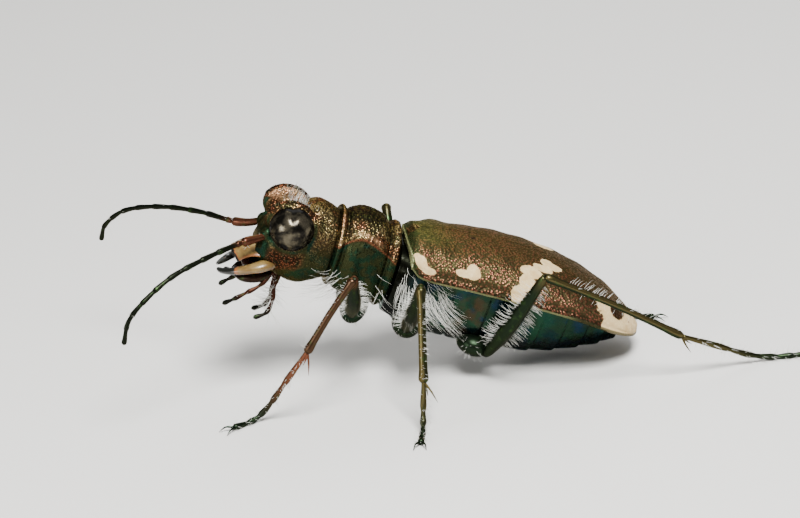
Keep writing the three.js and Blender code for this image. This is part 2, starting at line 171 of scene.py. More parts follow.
class Shape:
    """Closed tubes of rings, gathered into one mesh."""

    def __init__(self):
        self.points, self.faces, self.lie = [], [], []
        self.tone, self.hair, self.comb = [], [], []
        self.count = 0

    def add(self, grid, lie=None, tone=0.0, hair=0.0, comb=(0, 0, 0)):
        """grid has rings, points round each ring, and three coordinates in room millimetres."""
        rings, sides = grid.shape[:2]
        if lie is None:
            ring, side = np.meshgrid(range(rings), range(sides), indexing="ij")
            lie = np.stack([side / sides, ring / rings, 0 * ring], -1)
        caps = [0, rings - 1]
        self.points.append(np.concatenate([grid.reshape(-1, 3), grid[caps].mean(1)]))
        self.lie.append(np.concatenate([lie.reshape(-1, 3), lie[caps].mean(1)]))
        for store, value, width in (
            (self.tone, tone, 1),
            (self.hair, hair, 1),
            (self.comb, comb, 3),
        ):
            value = np.asarray(value, float)
            if width == 1:
                full = np.broadcast_to(value, (rings, sides)).reshape(-1)
                store.append(np.concatenate([full, np.zeros(2)]))
            else:
                full = np.broadcast_to(value, (rings, sides, 3)).reshape(-1, 3)
                store.append(np.concatenate([full, full[caps]]))
        here = np.arange(rings * sides).reshape(rings, sides) + self.count
        next_side = np.roll(here, -1, 1)
        quads = np.stack([here[:-1], next_side[:-1], next_side[1:], here[1:]], -1)
        self.faces += quads.reshape(-1, 4).tolist()
        first = self.count + rings * sides
        for j in range(sides):
            self.faces.append([next_side[0, j], here[0, j], first])
            self.faces.append([here[-1, j], next_side[-1, j], first + 1])
        self.count = first + 2
        return self

    def mesh(self, name, scale=MM):
        mesh = bpy.data.meshes.new(name)
        place = (np.concatenate(self.points) + SHIFT) * scale
        mesh.from_pydata(place.tolist(), [], [list(map(int, f)) for f in self.faces])
        for key in POINT_KEYS:
            store_values(mesh, key, np.concatenate(getattr(self, key)))
        return mesh


def add_object(name, data):
    obj = bpy.data.objects.new(name, data)
    bpy.context.scene.collection.objects.link(obj)
    return obj


def face_outwards(mesh):
    work = bmesh.new()
    work.from_mesh(mesh)
    bmesh.ops.recalc_face_normals(work, faces=work.faces)
    work.to_mesh(mesh)
    work.free()


def piece(name, mesh, finish, replaces=()):
    """Adds a finished piece to the animal: smooth, painted, and standing for its solids."""
    obj = add_object(name, mesh)
    face_outwards(mesh)
    mesh.shade_smooth()
    mesh.materials.clear()
    mesh.materials.append(finish)
    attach(obj, "root")
    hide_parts(*replaces)
    print(name, len(mesh.polygons), "faces")


print("each point keeps", ", ".join(POINT_KEYS))


# %% [markdown]
# ## Limbs
# A leg, feeler or palp is a round tube along a smooth path, thick and thin in turn. Its rings
# are spaced along the path, and each stands square to it.


# %% Tubes along a path
PATH_POINTS = 200
CLOSEST_RINGS = 0.002
POLE_GAP = 0.02


def far_along(points):
    """How far each point lies along its path."""
    return np.insert(np.cumsum(np.linalg.norm(np.diff(points, axis=0), axis=1)), 0, 0)


def smooth_path(points, count):
    points = np.array(points, float)
    far = far_along(points)
    axes = [through(list(zip(far, points[:, k]))) for k in range(3)]
    fine = np.linspace(0, far[-1], count)
    return np.stack([axis(fine) for axis in axes], -1)


def tube(points, radii, sides=16, flat=1.0, up=(0.05, 0.02, 1), rings=None, ripple=None):
    """radii are pairs of (share of the length, radius); ripple may add to the radius."""
    rings = rings or max(12, 6 * len(radii))
    path = smooth_path(points, PATH_POINTS)
    far = far_along(path)
    share = np.linspace(0, 1, rings)
    shares = np.unique(np.concatenate([share, [r[0] for r in radii]]))
    shares = shares[np.insert(np.diff(shares) > CLOSEST_RINGS, 0, True)]
    centre = np.stack([np.interp(shares * far[-1], far, path[:, k]) for k in range(3)], -1)
    along = np.gradient(centre, axis=0)
    along /= np.linalg.norm(along, axis=1)[:, None]
    side = np.cross(along, np.array(up, float))
    side /= np.linalg.norm(side, axis=1)[:, None]
    over = np.cross(side, along)
    angle = round_angles(sides)
    radius = through(radii)(shares)[:, None] * np.ones(sides)
    if ripple is not None:
        radius = radius + ripple(shares[:, None], angle)
    across = (radius * np.cos(angle))[..., None] * side[:, None, :]
    upward = (radius * np.sin(angle) * flat)[..., None] * over[:, None, :]
    grid = centre[:, None, :] + across + upward
    return grid, joined(angle / TURN, shares[:, None], 0.0)


def ball(centre, radii, across=32, down=20):
    """Rings of a ball, a hair short of each pole, where a cap closes it."""
    lat = np.linspace(POLE_GAP, math.pi - POLE_GAP, down)[:, None]
    lon = round_angles(across)
    unit = joined(np.cos(lat), np.sin(lat) * np.cos(lon), np.sin(lat) * np.sin(lon))
    return unit * np.array(radii) + np.array(centre)


print("a path is followed through", PATH_POINTS, "points")


# %% [markdown]
# ## The camera
# It stands where the photographer did: at the insect's left side, 20 degrees above level and
# a little towards its head. The ground in the photo slopes by four degrees and the model's
# floor is level, so the camera leans by as much.

# %% Camera
CAMERA_AZIMUTH = math.radians(-6)
CAMERA_HEIGHT = math.radians(20)
GROUND_SLOPE = math.radians(4)
CAMERA_AWAY = 160 * MM
AIM = (np.array([-3.456, 0.0, 4.442]) + SHIFT) * MM
SENSOR = 36.0
FOCAL_PIXELS = 4272
PHOTO_WIDTH = 800
NEAREST, FARTHEST = 0.005, 10

back = Vector(
    (
        math.sin(CAMERA_AZIMUTH) * math.cos(CAMERA_HEIGHT),
        -math.cos(CAMERA_AZIMUTH) * math.cos(CAMERA_HEIGHT),
        math.sin(CAMERA_HEIGHT),
    )
)
right = Vector((math.cos(CAMERA_AZIMUTH), math.sin(CAMERA_AZIMUTH), 0))
lean = Matrix.Rotation(GROUND_SLOPE, 3, "Y")
axes = [lean @ axis for axis in (right, back.cross(right), back)]
turned = Matrix([list(axis) for axis in axes]).transposed().to_4x4()
lens = bpy.data.cameras.new("camera")
lens.sensor_width = SENSOR
lens.lens = SENSOR * FOCAL_PIXELS / PHOTO_WIDTH
lens.clip_start = NEAREST
lens.clip_end = FARTHEST
camera = add_object("camera", lens)
camera.matrix_world = Matrix.Translation(Vector(AIM) + axes[2] * CAMERA_AWAY) @ turned
bpy.context.scene.camera = camera
print("camera at", [round(x, 4) for x in camera.location], "lens", round(lens.lens, 1))

# %% [markdown]
# ## Finishes: a small language for shader maths
# A Number wraps a socket so that sums and products of sockets read like ordinary maths. A
# Finish holds one material and adds any other node by type, settings first and links after.


# %% Number and Finish
def feed(tree, socket, value):
    """Links a socket to the value where that is a socket too, and else sets it."""
    if isinstance(value, bpy.types.NodeSocket):
        tree.links.new(value, socket)
    else:
        socket.default_value = value


def add_node(tree, kind, settings=None, values=None):
    """Adds a node: its settings first, then the values or links of its sockets."""
    node = tree.nodes.new(kind)
    for key, value in (settings or {}).items():
        setattr(node, key, value)
    for key, value in (values or {}).items():
        feed(tree, node.inputs[key], value)
    return node


class Number:
    """A socket that sums and products can be written with."""

    def __init__(self, finish, socket):
        self.finish, self.socket = finish, socket

    def _math(self, operation, other):
        node = self.finish.node("ShaderNodeMath", {"operation": operation}, {0: self, 1: other})
        return Number(self.finish, node.outputs[0])

    def __add__(self, other):
        return self._math("ADD", other)

    __radd__ = __add__

    def __mul__(self, other):
        return self._math("MULTIPLY", other)

    __rmul__ = __mul__

    def __sub__(self, other):
        return self._math("SUBTRACT", other)

    def __rsub__(self, other):
        return (self * -1) + other

    def __truediv__(self, other):
        return self._math("DIVIDE", other)

    def __pow__(self, other):
        return self._math("POWER", other)

    def lower(self, other):
        return self._math("MINIMUM", other)

    def higher(self, other):
        return self._math("MAXIMUM", other)

    def between(self, low, high):
        """0 below low, 1 above high, and smooth in between."""
        node = self.finish.node(
            "ShaderNodeMapRange",
            {"interpolation_type": "SMOOTHSTEP"},
            {"Value": self, "From Min": low, "From Max": high},
        )
        return Number(self.finish, node.outputs[0])


# A Mix node has a set of sockets for each kind of value; these are the ones for colours.
COLOUR_A, COLOUR_B, COLOUR_OUT = 6, 7, 2


def plain(value):
    return value.socket if isinstance(value, Number) else value


class Finish:
    """One material and the nodes that feed its shader."""

    def __init__(self, name):
        self.material = bpy.data.materials.new(name)
        self.material.use_nodes = True
        self.tree = self.material.node_tree
        self.shader = self.tree.nodes["Principled BSDF"]
        self.place = self.node("ShaderNodeTexCoord").outputs["Object"]

    def node(self, kind, settings=None, values=None):
        sockets = {key: plain(value) for key, value in (values or {}).items()}
        return add_node(self.tree, kind, settings, sockets)

    def noise(self, size_mm, detail=2.0):
        """Soft blotches about size_mm across, from 0 to 1."""
        values = {"Vector": self.place, "Scale": 1 / (size_mm * MM), "Detail": detail}
        return Number(self, self.node("ShaderNodeTexNoise", None, values).outputs[0])

    def patches(self, size_mm, detail, low, high):
        """Blotches with an edge: 0 where the noise is below low and 1 where it is above high."""
        return self.noise(size_mm, detail).between(low, high)

    def cells(self, size_mm):
        """Close-packed grains size_mm across: how far each point is from its grain's middle."""
        values = {"Vector": self.place, "Scale": 1 / (size_mm * MM)}
        return Number(self, self.node("ShaderNodeTexVoronoi", None, values).outputs["Distance"])

    def stored(self, key):
        """The node that reads what Shape kept with each point."""
        return self.node("ShaderNodeAttribute", {"attribute_name": key})

    def lie(self):
        """The point's own place on its surface, as three numbers."""
        split = self.node("ShaderNodeSeparateXYZ", None, {0: self.stored("lie").outputs["Vector"]})
        return [Number(self, out) for out in split.outputs]

    def tone(self):
        return Number(self, self.stored("tone").outputs["Fac"])

    def mix(self, share, first, second):
        values = {0: share, COLOUR_A: first, COLOUR_B: second}
        return self.node("ShaderNodeMix", {"data_type": "RGBA"}, values).outputs[COLOUR_OUT]

    def bump(self, height, strength, depth_mm):
        values = {"Height": height, "Strength": strength, "Distance": depth_mm * MM}
        self.set(Normal=self.node("ShaderNodeBump", None, values).outputs[0])

    def set(self, **values):
        for key, value in values.items():
            feed(self.tree, self.shader.inputs[key.replace("_", " ")], plain(value))
        return self.material


def paint(red, green, blue):
    return (red, green, blue, 1.0)


# %% [markdown]
# ## The trunk's cuticle
# A tiger beetle's shell shines like worn copper and bronze, and it isn't smooth: it is covered
# with tiny grains, each of which catches the light. The colour wanders between copper, gold
# and green, because it comes from thin layers. So the finish is metallic, with cells for the
# grains, which drive the bump, the roughness and the small specks of colour together.

# %% Copper and green cuticle
COPPER = paint(0.30, 0.125, 0.058)
GOLD = paint(0.42, 0.31, 0.13)
MOSS = paint(0.030, 0.065, 0.018)
ROSE = paint(0.30, 0.075, 0.035)
DEEP_GREEN = paint(0.008, 0.023, 0.012)
DEEP_BLUE = paint(0.004, 0.016, 0.018)
OLIVE = paint(0.022, 0.024, 0.009)
CHEEK_RED = paint(0.120, 0.030, 0.016)
PALE_GOLD = paint(0.33, 0.19, 0.10)
NEAR_BLACK = paint(0.005, 0.005, 0.003)
THORAX_GREEN = paint(0.010, 0.028, 0.010)
BORDER_RED = paint(0.12, 0.036, 0.018)
DULL_BRASS = paint(0.55, 0.45, 0.28)


def granular_copper(name, grain_mm, zone_colour, red_line):
    """tone turns copper into dark green, with a red line where they meet. The zone, the third
    part of lie, brings in another colour, or a brighter gold where it is below 0. On the
    prothorax's front collar that brighter gold is a painted highlight."""
    f = Finish(name)
    tone, zone = f.tone(), f.lie()[2]
    grains = f.cells(grain_mm)
    colour = f.mix(f.patches(0.9, 3, 0.40, 0.60), COPPER, GOLD)
    colour = f.mix(f.patches(0.35, 3, 0.45, 0.60) * 0.6, colour, MOSS)
    colour = f.mix(f.patches(0.08, 1, 0.58, 0.72) * 0.6, colour, ROSE)
    # Where the zone is below 0 the colour turns pale gold; on the front collar that is a painted
    # highlight.
    bright = (zone * -1).between(0, 1)
    colour = f.mix(bright * 0.65, colour, PALE_GOLD)
    zoned = f.mix(f.patches(0.25, 3, 0.46, 0.62), zone_colour, DEEP_GREEN)
    colour = f.mix(zone.between(0.1, 0.9) * 0.85, colour, zoned)
    colour = f.mix(grains.between(0.25, 0.52) * (0.92 - bright * 0.55), colour, NEAR_BLACK)
    green = f.mix(f.patches(0.7, 3, 0.48, 0.66) * 0.6, DEEP_GREEN, DEEP_BLUE)
    green = f.mix(f.patches(0.35, 3, 0.42, 0.58) * 0.9, green, OLIVE)
    colour = f.mix(tone, colour, green)
    colour = f.mix((tone * (1 - tone) * 4) ** 2 * red_line, colour, BORDER_RED)
    f.bump((1 - grains) * (1 - tone * 0.75) + f.noise(0.25) * 0.5, 0.9, 0.03)
    f.set(Base_Color=colour, Metallic=0.9, Roughness=0.27 + grains.between(0.3, 0.7) * 0.3)
    return f.set(Coat_Weight=0.0, Specular_IOR_Level=0.2, Specular_Tint=DULL_BRASS)


HEAD_GRAIN = 0.07
THORAX_GRAIN = 0.08
HEAD_FINISH = granular_copper("head_cuticle", HEAD_GRAIN, CHEEK_RED, 0.15)
THORAX_FINISH = granular_copper("thorax_cuticle", THORAX_GRAIN, THORAX_GREEN, 0.75)
print("grain sizes", HEAD_GRAIN, "and", THORAX_GRAIN, "mm")

# %% [markdown]
# ## The underside's finish
# Below, the shell is smooth like glazed metal, dark green with hints of blue, and copper on
# the chest. It has the same thin layers as the back but no deep grains, so the finish keeps a
# low roughness and a faint bump. Broad blotches change its colour; brighter green and blue
# patches among them are painted highlights, and the front end is painted near black as shade.

# %% Smooth dark green underside
SHADOW_BROWN = paint(0.014, 0.014, 0.007)
# Painted highlights of the glossy underside: a green one and a blue one.
GREEN_HIGHLIGHT_PATCH = paint(0.008, 0.042, 0.022)
BLUE_HIGHLIGHT_PATCH = paint(0.006, 0.018, 0.042)
CHEST_COPPER = paint(0.045, 0.022, 0.011)
TEAL_SHINE = paint(0.05, 0.22, 0.17)


def smooth_green():
    f = Finish("underside_cuticle")
    colour = f.mix(f.patches(1.1, 2, 0.45, 0.6), DEEP_GREEN, DEEP_BLUE)
    colour = f.mix(f.patches(0.6, 3, 0.5, 0.7) * 0.5, colour, SHADOW_BROWN)
    # Brighter green and blue patches are painted highlights on the glossy underside.
    colour = f.mix(f.patches(0.8, 2, 0.50, 0.68) * 0.5, colour, GREEN_HIGHLIGHT_PATCH)
    colour = f.mix(f.patches(0.55, 2, 0.54, 0.72) * 0.5, colour, BLUE_HIGHLIGHT_PATCH)
    along = f.lie()[1]
    chest = along.between(0.28, 0.32) * (1 - along.between(0.37, 0.42))
    colour = f.mix(chest * f.patches(0.5, 3, 0.38, 0.62) * 0.6, colour, CHEST_COPPER)
    # tone paints the front end of the hind body near black: painted shade in the gap behind the
    # prothorax.
    colour = f.mix(f.tone(), colour, NEAR_BLACK)
    f.bump(f.cells(0.12), 0.25, 0.01)
    f.set(Specular_IOR_Level=0.3, Specular_Tint=TEAL_SHINE, Coat_Weight=0.07)
    return f.set(Base_Color=colour, Metallic=0.88, Roughness=0.16 + f.noise(0.3) * 0.2)


UNDERSIDE = smooth_green()
print("the underside's finish has", len(UNDERSIDE.node_tree.nodes), "nodes")

# %% [markdown]
# ## The wing cases' finish
# The wing cases are bronze, speckled all over with green pits on a copper ground. They are
# greener at the shoulder and along the top and redder towards the tail. A thin pale green line
# along the edge is a painted highlight, and it turns dark at the tail. Each bears cream marks: a
# spot at the shoulder, one behind it, a bent band across the middle and a curved one at the tail.
# A mark is a few soft ellipses in the wing case's own coordinates, so it stays put from every side.

# %% Bronze wing cases with cream marks
# Each spot: middle along and up from the edge, then half its length and half its width, in mm.
CREAM_SPOTS = [
    (-0.02, 0.58, 0.31, 0.28),
    (0.34, 0.44, 0.34, 0.15),
    (2.06, 0.78, 0.29, 0.32),
    (1.74, 0.66, 0.36, 0.16),
    (4.94, 2.46, 0.28, 0.26),
    (5.14, 2.28, 0.42, 0.30),
    (4.72, 1.90, 0.42, 0.26),
    (4.26, 1.48, 0.46, 0.32),
    (4.12, 0.94, 0.30, 0.42),
    (3.88, 0.34, 0.30, 0.38),
    (7.90, 0.98, 0.95, 0.66),
    (8.30, 0.30, 1.05, 0.45),
    (8.95, 0.50, 0.45, 0.75),
]
BROWN_SPOT = (7.96, 1.02, 0.34, 0.38)
PIT_ON_BACK = (2.06, 2.72, 0.11, 0.13)
WING_RED, WING_BROWN = paint(0.140, 0.046, 0.030), paint(0.112, 0.058, 0.027)
WING_GREEN, WING_COPPER = paint(0.070, 0.088, 0.028), paint(0.235, 0.092, 0.056)
REAR_RED, SHOULDER_GREEN = paint(0.19, 0.060, 0.042), paint(0.100, 0.115, 0.034)
PIT_GREEN, FRONT_GREEN = paint(0.016, 0.026, 0.009), paint(0.022, 0.040, 0.014)
EDGE_RED, SPOT_BROWN = paint(0.10, 0.034, 0.020), paint(0.030, 0.017, 0.010)
IVORY_LIGHT, IVORY_DARK = paint(0.55, 0.42, 0.22), paint(0.47, 0.33, 0.15)
IVORY_PIT, WING_SHINE = paint(0.40, 0.25, 0.12), paint(0.50, 0.42, 0.28)
# The rim's pale green is a painted highlight along the edge; its dark colour is the rim at the tail.
RIM_HIGHLIGHT_GREEN, RIM_DARK = paint(0.17, 0.18, 0.085), paint(0.030, 0.030, 0.014)


def wing_case_finish():
    f = Finish("wing_case_cuticle")
    along, up, _ = f.lie()
    wander = (f.noise(0.35, 3) - 0.5) * 0.65 + (f.noise(0.1, 1) - 0.5) * 0.25

    def spot(middle, rise, long, wide):
        a = (along - middle) / long
        b = (up - rise) / wide
        return (a * a + b * b) ** 0.5

    nearest = spot(*CREAM_SPOTS[0])
    for values in CREAM_SPOTS[1:]:
        nearest = nearest.lower(spot(*values))
    cream = 1 - (nearest + wander).between(0.93, 1.03)
    cream = cream * (spot(*BROWN_SPOT) + wander).between(0.95, 1.08)
    grains = f.cells(0.095)
    pits = grains.between(0.26, 0.56)
    colour = f.mix(f.patches(0.13, 2, 0.40, 0.60), WING_RED, WING_BROWN)
    colour = f.mix(f.patches(0.09, 1, 0.58, 0.68) * 0.55, colour, WING_GREEN)
    colour = f.mix(f.patches(0.07, 1, 0.52, 0.68) * 0.7, colour, WING_COPPER)
    shoulder = (1 - (along + up * 0.25 + wander).between(0.7, 2.6)) * up.between(1.0, 2.2)
    top = up.between(3.0, 3.8) * 0.4
    rear = along.between(3.0, 6.5) * (1 - up.between(1.2, 2.6))
    colour = f.mix(rear * 0.45, colour, REAR_RED)
    colour = f.mix(shoulder.higher(top) * 0.7, colour, SHOULDER_GREEN)
    colour = f.mix(pits * 0.8, colour, PIT_GREEN)
    red_edge = 1 - up.between(0.15, 0.50)
    colour = f.mix(red_edge * 0.7, colour, f.mix(pits, EDGE_RED, NEAR_BLACK))
    front = along.between(-0.42, 0.15)
    colour = f.mix((1 - front) * 0.85, colour, FRONT_GREEN)
    fovea = 1 - spot(*PIT_ON_BACK).between(0.6, 1.2)
    colour = f.mix(fovea * 0.85, colour, NEAR_BLACK)
    ivory = f.mix(f.patches(0.3, 2, 0.4, 0.7), IVORY_LIGHT, IVORY_DARK)
    ivory = f.mix(pits * 0.25, ivory, IVORY_PIT)
    brown = 1 - (spot(*BROWN_SPOT) + wander).between(0.75, 0.95)
    colour = f.mix(brown * 0.75, colour, SPOT_BROWN)
    colour = f.mix(cream, colour, ivory)
    tail = along.between(5.5, 6.5)
    # rim paints a thin pale green highlight line along the lower and front edges; towards the tail
    # the line turns dark.
    rim = (1 - (up - tail * 0.07).between(0.05, 0.10)).higher(1 - along.between(-0.37, -0.34))
    rim_colour = f.mix(tail, RIM_HIGHLIGHT_GREEN, RIM_DARK)
    colour = f.mix(rim * 0.85, colour, rim_colour)
    f.bump((1 - grains) * (1 - cream * 0.75) + f.noise(0.5) * 0.5, 1.0, 0.03)
    f.set(Base_Color=colour, Metallic=0.85 * (1 - cream), Roughness=0.30 + pits * 0.2 + cream * 0.1)
    return f.set(Specular_IOR_Level=0.22, Specular_Tint=WING_SHINE)


WING_CASES = wing_case_finish()
print(len(CREAM_SPOTS), "ellipses make the cream marks")

# %% [markdown]
# ## Eyes, jaws and limbs
# The eye is dark and glossy with a fine net of facets, and its lighter blotches are painted
# reflections. The jaws and upper lip are ivory, with black teeth and tips. The feelers are copper
# near the head and soon darken. The legs are a dark metallic green, with a painted highlight
# line along the shin, gold on the middle and hind legs and copper on the front ones, and a
# painted highlight at the knee. All limbs share one finish with two colours, which the tone of
# each point chooses between.


# %% Eye, ivory, feeler, leg and bristle finishes
EYE_DARK, EYE_REFLECTION = paint(0.012, 0.011, 0.009), paint(0.088, 0.076, 0.052)
EYE_SHINE, LIMB_SHINE = paint(0.10, 0.10, 0.08), paint(0.45, 0.42, 0.3)
JAW_DARK, JAW_LIGHT = paint(0.110, 0.064, 0.017), paint(0.165, 0.108, 0.033)
JAW_AMBER = paint(0.22, 0.075, 0.020)
BRISTLE_LIGHT, BRISTLE_DARK = paint(0.68, 0.68, 0.63), paint(0.50, 0.49, 0.43)
# Each limb's finish: its colour near the body, its colour far from it, how metallic, how rough.
LIMBS = {
    "feeler": (paint(0.070, 0.025, 0.014), paint(0.008, 0.010, 0.006), 0.85, 0.22),
    "palp": (paint(0.030, 0.009, 0.005), paint(0.004, 0.004, 0.003), 0.5, 0.2),
    # On the legs the far colour also paints the highlight line along the shin and at the knee.
    "leg": (paint(0.008, 0.015, 0.008), paint(0.075, 0.058, 0.022), 0.85, 0.24),
    "foreleg": (paint(0.006, 0.015, 0.009), paint(0.16, 0.056, 0.030), 0.85, 0.24),
}


def eye_finish():
    f = Finish("eye_surface")
    facets = f.cells(0.032)
    blotches = f.patches(0.42, 3, 0.42, 0.62)
    # The lighter blotches on the dark eye are painted reflections.
    colour = f.mix(blotches, EYE_DARK, EYE_REFLECTION)
    f.bump((1 - facets) + f.noise(0.5) * 0.8, 0.25, 0.006)
    f.set(Specular_IOR_Level=0.3, Specular_Tint=EYE_SHINE)
    return f.set(Base_Color=colour, Metallic=0.85, Roughness=0.16 + f.noise(0.3) * 0.12)


def ivory_finish():
    f = Finish("jaw_ivory")
    dark = f.tone()
    colour = f.mix(f.patches(0.3, 2, 0.4, 0.65), JAW_DARK, JAW_LIGHT)
    colour = f.mix(dark.between(0.08, 0.35), colour, JAW_AMBER)
    colour = f.mix((dark + (f.noise(0.12) - 0.5) * 0.3).between(0.45, 0.62), colour, NEAR_BLACK)
    f.bump(f.noise(0.1, 2), 0.25, 0.01)
    return f.set(Base_Color=colour, Roughness=0.3, Coat_Weight=0.15, Coat_Roughness=0.08)


def limb_finish(limb):
    near, far, metallic, rough = LIMBS[limb]
    f = Finish(f"{limb}_cuticle")
    colour = f.mix(f.tone().between(0.0, 1.0), near, far)
    colour = f.mix(f.patches(0.25, 2, 0.55, 0.75) * 0.5, colour, MOSS)
    f.bump(f.noise(0.07, 2), 0.35, 0.008)
    f.set(Specular_IOR_Level=0.3, Specular_Tint=LIMB_SHINE)
    return f.set(Base_Color=colour, Metallic=metallic, Roughness=rough + f.noise(0.2) * 0.15)


def bristle_finish():
    f = Finish("white_bristle")
    colour = f.mix(f.noise(0.4), BRISTLE_LIGHT, BRISTLE_DARK)
    return f.set(Base_Color=colour, Roughness=0.35)


EYE = eye_finish()
IVORY = ivory_finish()
FEELER, PALP, LEG, FORELEG = (limb_finish(limb) for limb in LIMBS)
BRISTLE = bristle_finish()
made = (EYE, IVORY, FEELER, PALP, LEG, FORELEG, BRISTLE)
print("finishes:", ", ".join(finish.name for finish in made))

# %% [markdown]
# ## Bristles
# White bristles stand along the legs, on the face and in a thick brush under the shoulders.
# They could be hair particles, but those are lost when a model is exported, so Geometry Nodes
# scatters points where the surface's hair attribute says, sets a thin bent cone on each, leans
# it along comb, and makes real mesh of the result. Each bristle's UV is a tiny patch at its
# root's place on the surface.


# %% The bristle tree
FLOOR_GAP = 0.02
SQUARE_MM_PER_SQUARE_METRE = 1e6
LEAN_SEED, LENGTH_SEED = 7, 3
SHORTEST = 0.3
UV_PATCH = 0.003
BRISTLE_CONE = {
    "Vertices": 4,
    "Side Segments": 4,
    "Radius Top": 0.12,
    "Radius Bottom": 0.5,
    "Depth": 1.0,
}


def bristle_tree():
    tree = bpy.data.node_groups.new("bristles", "GeometryNodeTree")
    face = tree.interface
    face.new_socket("Geometry", in_out="INPUT", socket_type="NodeSocketGeometry")
    for name, value in (
        ("Per square mm", 20.0),
        ("Length mm", 0.6),
        ("Thickness mm", 0.02),
        ("Lean", 0.5),
        ("Spread", 0.3),
        ("Bend", 6.0),
    ):
        face.new_socket(name, in_out="INPUT", socket_type="NodeSocketFloat").default_value = value
    face.new_socket("Seed", in_out="INPUT", socket_type="NodeSocketInt").default_value = 1
    face.new_socket("Material", in_out="INPUT", socket_type="NodeSocketMaterial")
    face.new_socket("Geometry", in_out="OUTPUT", socket_type="NodeSocketGeometry")
    given = tree.nodes.new("NodeGroupInput").outputs

    def node(kind, settings=None, values=None):
        return add_node(tree, kind, settings, values)

    def maths(operation, a, b):
        return node("ShaderNodeMath", {"operation": operation}, {0: a, 1: b}).outputs[0]

    def times(a, b):
        return maths("MULTIPLY", a, b)

    def add(a, b):
        return node("ShaderNodeVectorMath", {"operation": "ADD"}, {0: a, 1: b}).outputs[0]

    def scaled(a, scale):
        made = node("ShaderNodeVectorMath", {"operation": "SCALE"}, {0: a, "Scale": scale})
        return made.outputs[0]

    def combined(x, y, z):
        return node("ShaderNodeCombineXYZ", None, {0: x, 1: y, 2: z}).outputs[0]

    def named(name, kind="FLOAT_VECTOR"):
        settings = {"data_type": kind}
        return node("GeometryNodeInputNamedAttribute", settings, {"Name": name}).outputs[0]

    def chance(low, high, seed, vectors=False):
        kind = "FLOAT_VECTOR" if vectors else "FLOAT"
        made = node("FunctionNodeRandomValue", {"data_type": kind})
        first = 0 if vectors else 2
        made.inputs[first].default_value = low
        made.inputs[first + 1].default_value = high
        tree.links.new(maths("ADD", given["Seed"], seed), made.inputs["Seed"])
        return made.outputs[0 if vectors else 1]

    def store(geometry, name, value, kind="FLOAT_VECTOR", domain="POINT"):
        settings = {"data_type": kind, "domain": domain}
        values = {"Geometry": geometry, "Name": name, "Value": value}
        return node("GeometryNodeStoreNamedAttribute", settings, values).outputs[0]

    hair = named("hair", "FLOAT")
    per_square_metre = times(times(hair, given["Per square mm"]), SQUARE_MM_PER_SQUARE_METRE)
    values = {"Mesh": given["Geometry"], "Seed": given["Seed"]}
    scatter = node("GeometryNodeDistributePointsOnFaces", None, values)
    tree.links.new(per_square_metre, scatter.inputs["Density"])
    points = store(scatter.outputs["Points"], "root", named("lie"))
    comb = scaled(named("comb"), given["Lean"])
    wild = scaled(chance((-1, -1, -1), (1, 1, 1), LEAN_SEED, True), given["Spread"])
    sum_of_leans = add(add(scatter.outputs["Normal"], comb), wild)
    aim = node("ShaderNodeVectorMath", {"operation": "NORMALIZE"}, {0: sum_of_leans}).outputs[0]
    turn = node("FunctionNodeAlignRotationToVector", {"axis": "Z"}, {"Vector": aim}).outputs[0]

    cone = node("GeometryNodeMeshCone", None, BRISTLE_CONE)
    spot = node("GeometryNodeInputPosition").outputs[0]
    height = node("ShaderNodeSeparateXYZ", None, {0: spot}).outputs[2]
    values = {"Geometry": cone.outputs["Mesh"]}
    bend = combined(times(times(height, height), given["Bend"]), 0, 0)
    bent = node("GeometryNodeSetPosition", None, {**values, "Offset": bend}).outputs[0]
    bent = store(bent, "own", spot)
    share = maths("ADD", times(hair, 1 - SHORTEST), SHORTEST)
    size = times(times(given["Length mm"], share), chance(0.6, 1.0, LENGTH_SEED))
    long = times(size, MM)
    thick = times(given["Thickness mm"], MM)
    scale = combined(thick, thick, long)
    values = {"Points": points, "Instance": bent, "Rotation": turn, "Scale": scale}
    placed = node("GeometryNodeInstanceOnPoints", None, values).outputs[0]
    real = node("GeometryNodeRealizeInstances", None, {"Geometry": placed}).outputs[0]
    patch = add(named("root"), scaled(named("own"), UV_PATCH))
    mapped = store(real, "OFBake", patch, "FLOAT2", "CORNER")
    spot = node("GeometryNodeInputPosition").outputs[0]
    parts = node("ShaderNodeSeparateXYZ", None, {0: spot}).outputs
    above = maths("MAXIMUM", parts[2], FLOOR_GAP * MM)
    values = {"Geometry": mapped, "Position": combined(parts[0], parts[1], above)}
    lifted = node("GeometryNodeSetPosition", None, values).outputs[0]
    values = {"Geometry": lifted, "Material": given["Material"]}
    final = node("GeometryNodeSetMaterial", None, values).outputs[0]
    out = tree.nodes.new("NodeGroupOutput")
    tree.links.new(final, out.inputs[0])
    return tree


BRISTLE_TREE = bristle_tree()
print("bristle tree has", len(BRISTLE_TREE.nodes), "nodes")


# %% [markdown]
# ## Growing bristles on a skin
# For a moment the tree is a modifier on a second object that shares the skin's mesh. Its sizes
# are set by the sockets' identifiers before it is first evaluated, and the result is turned into
# a plain mesh, so the animal carries no modifier. What the tree stored for itself is then taken
# off again.


# %% Growing bristles
USED_UP = ("hair", "comb", "tone", "own", "root", "lie")


def evaluated(obj):
    """A plain mesh of what an object's modifiers make."""
    bpy.context.view_layer.update()
    return bpy.data.meshes.new_from_object(obj.evaluated_get(bpy.context.evaluated_depsgraph_get()))


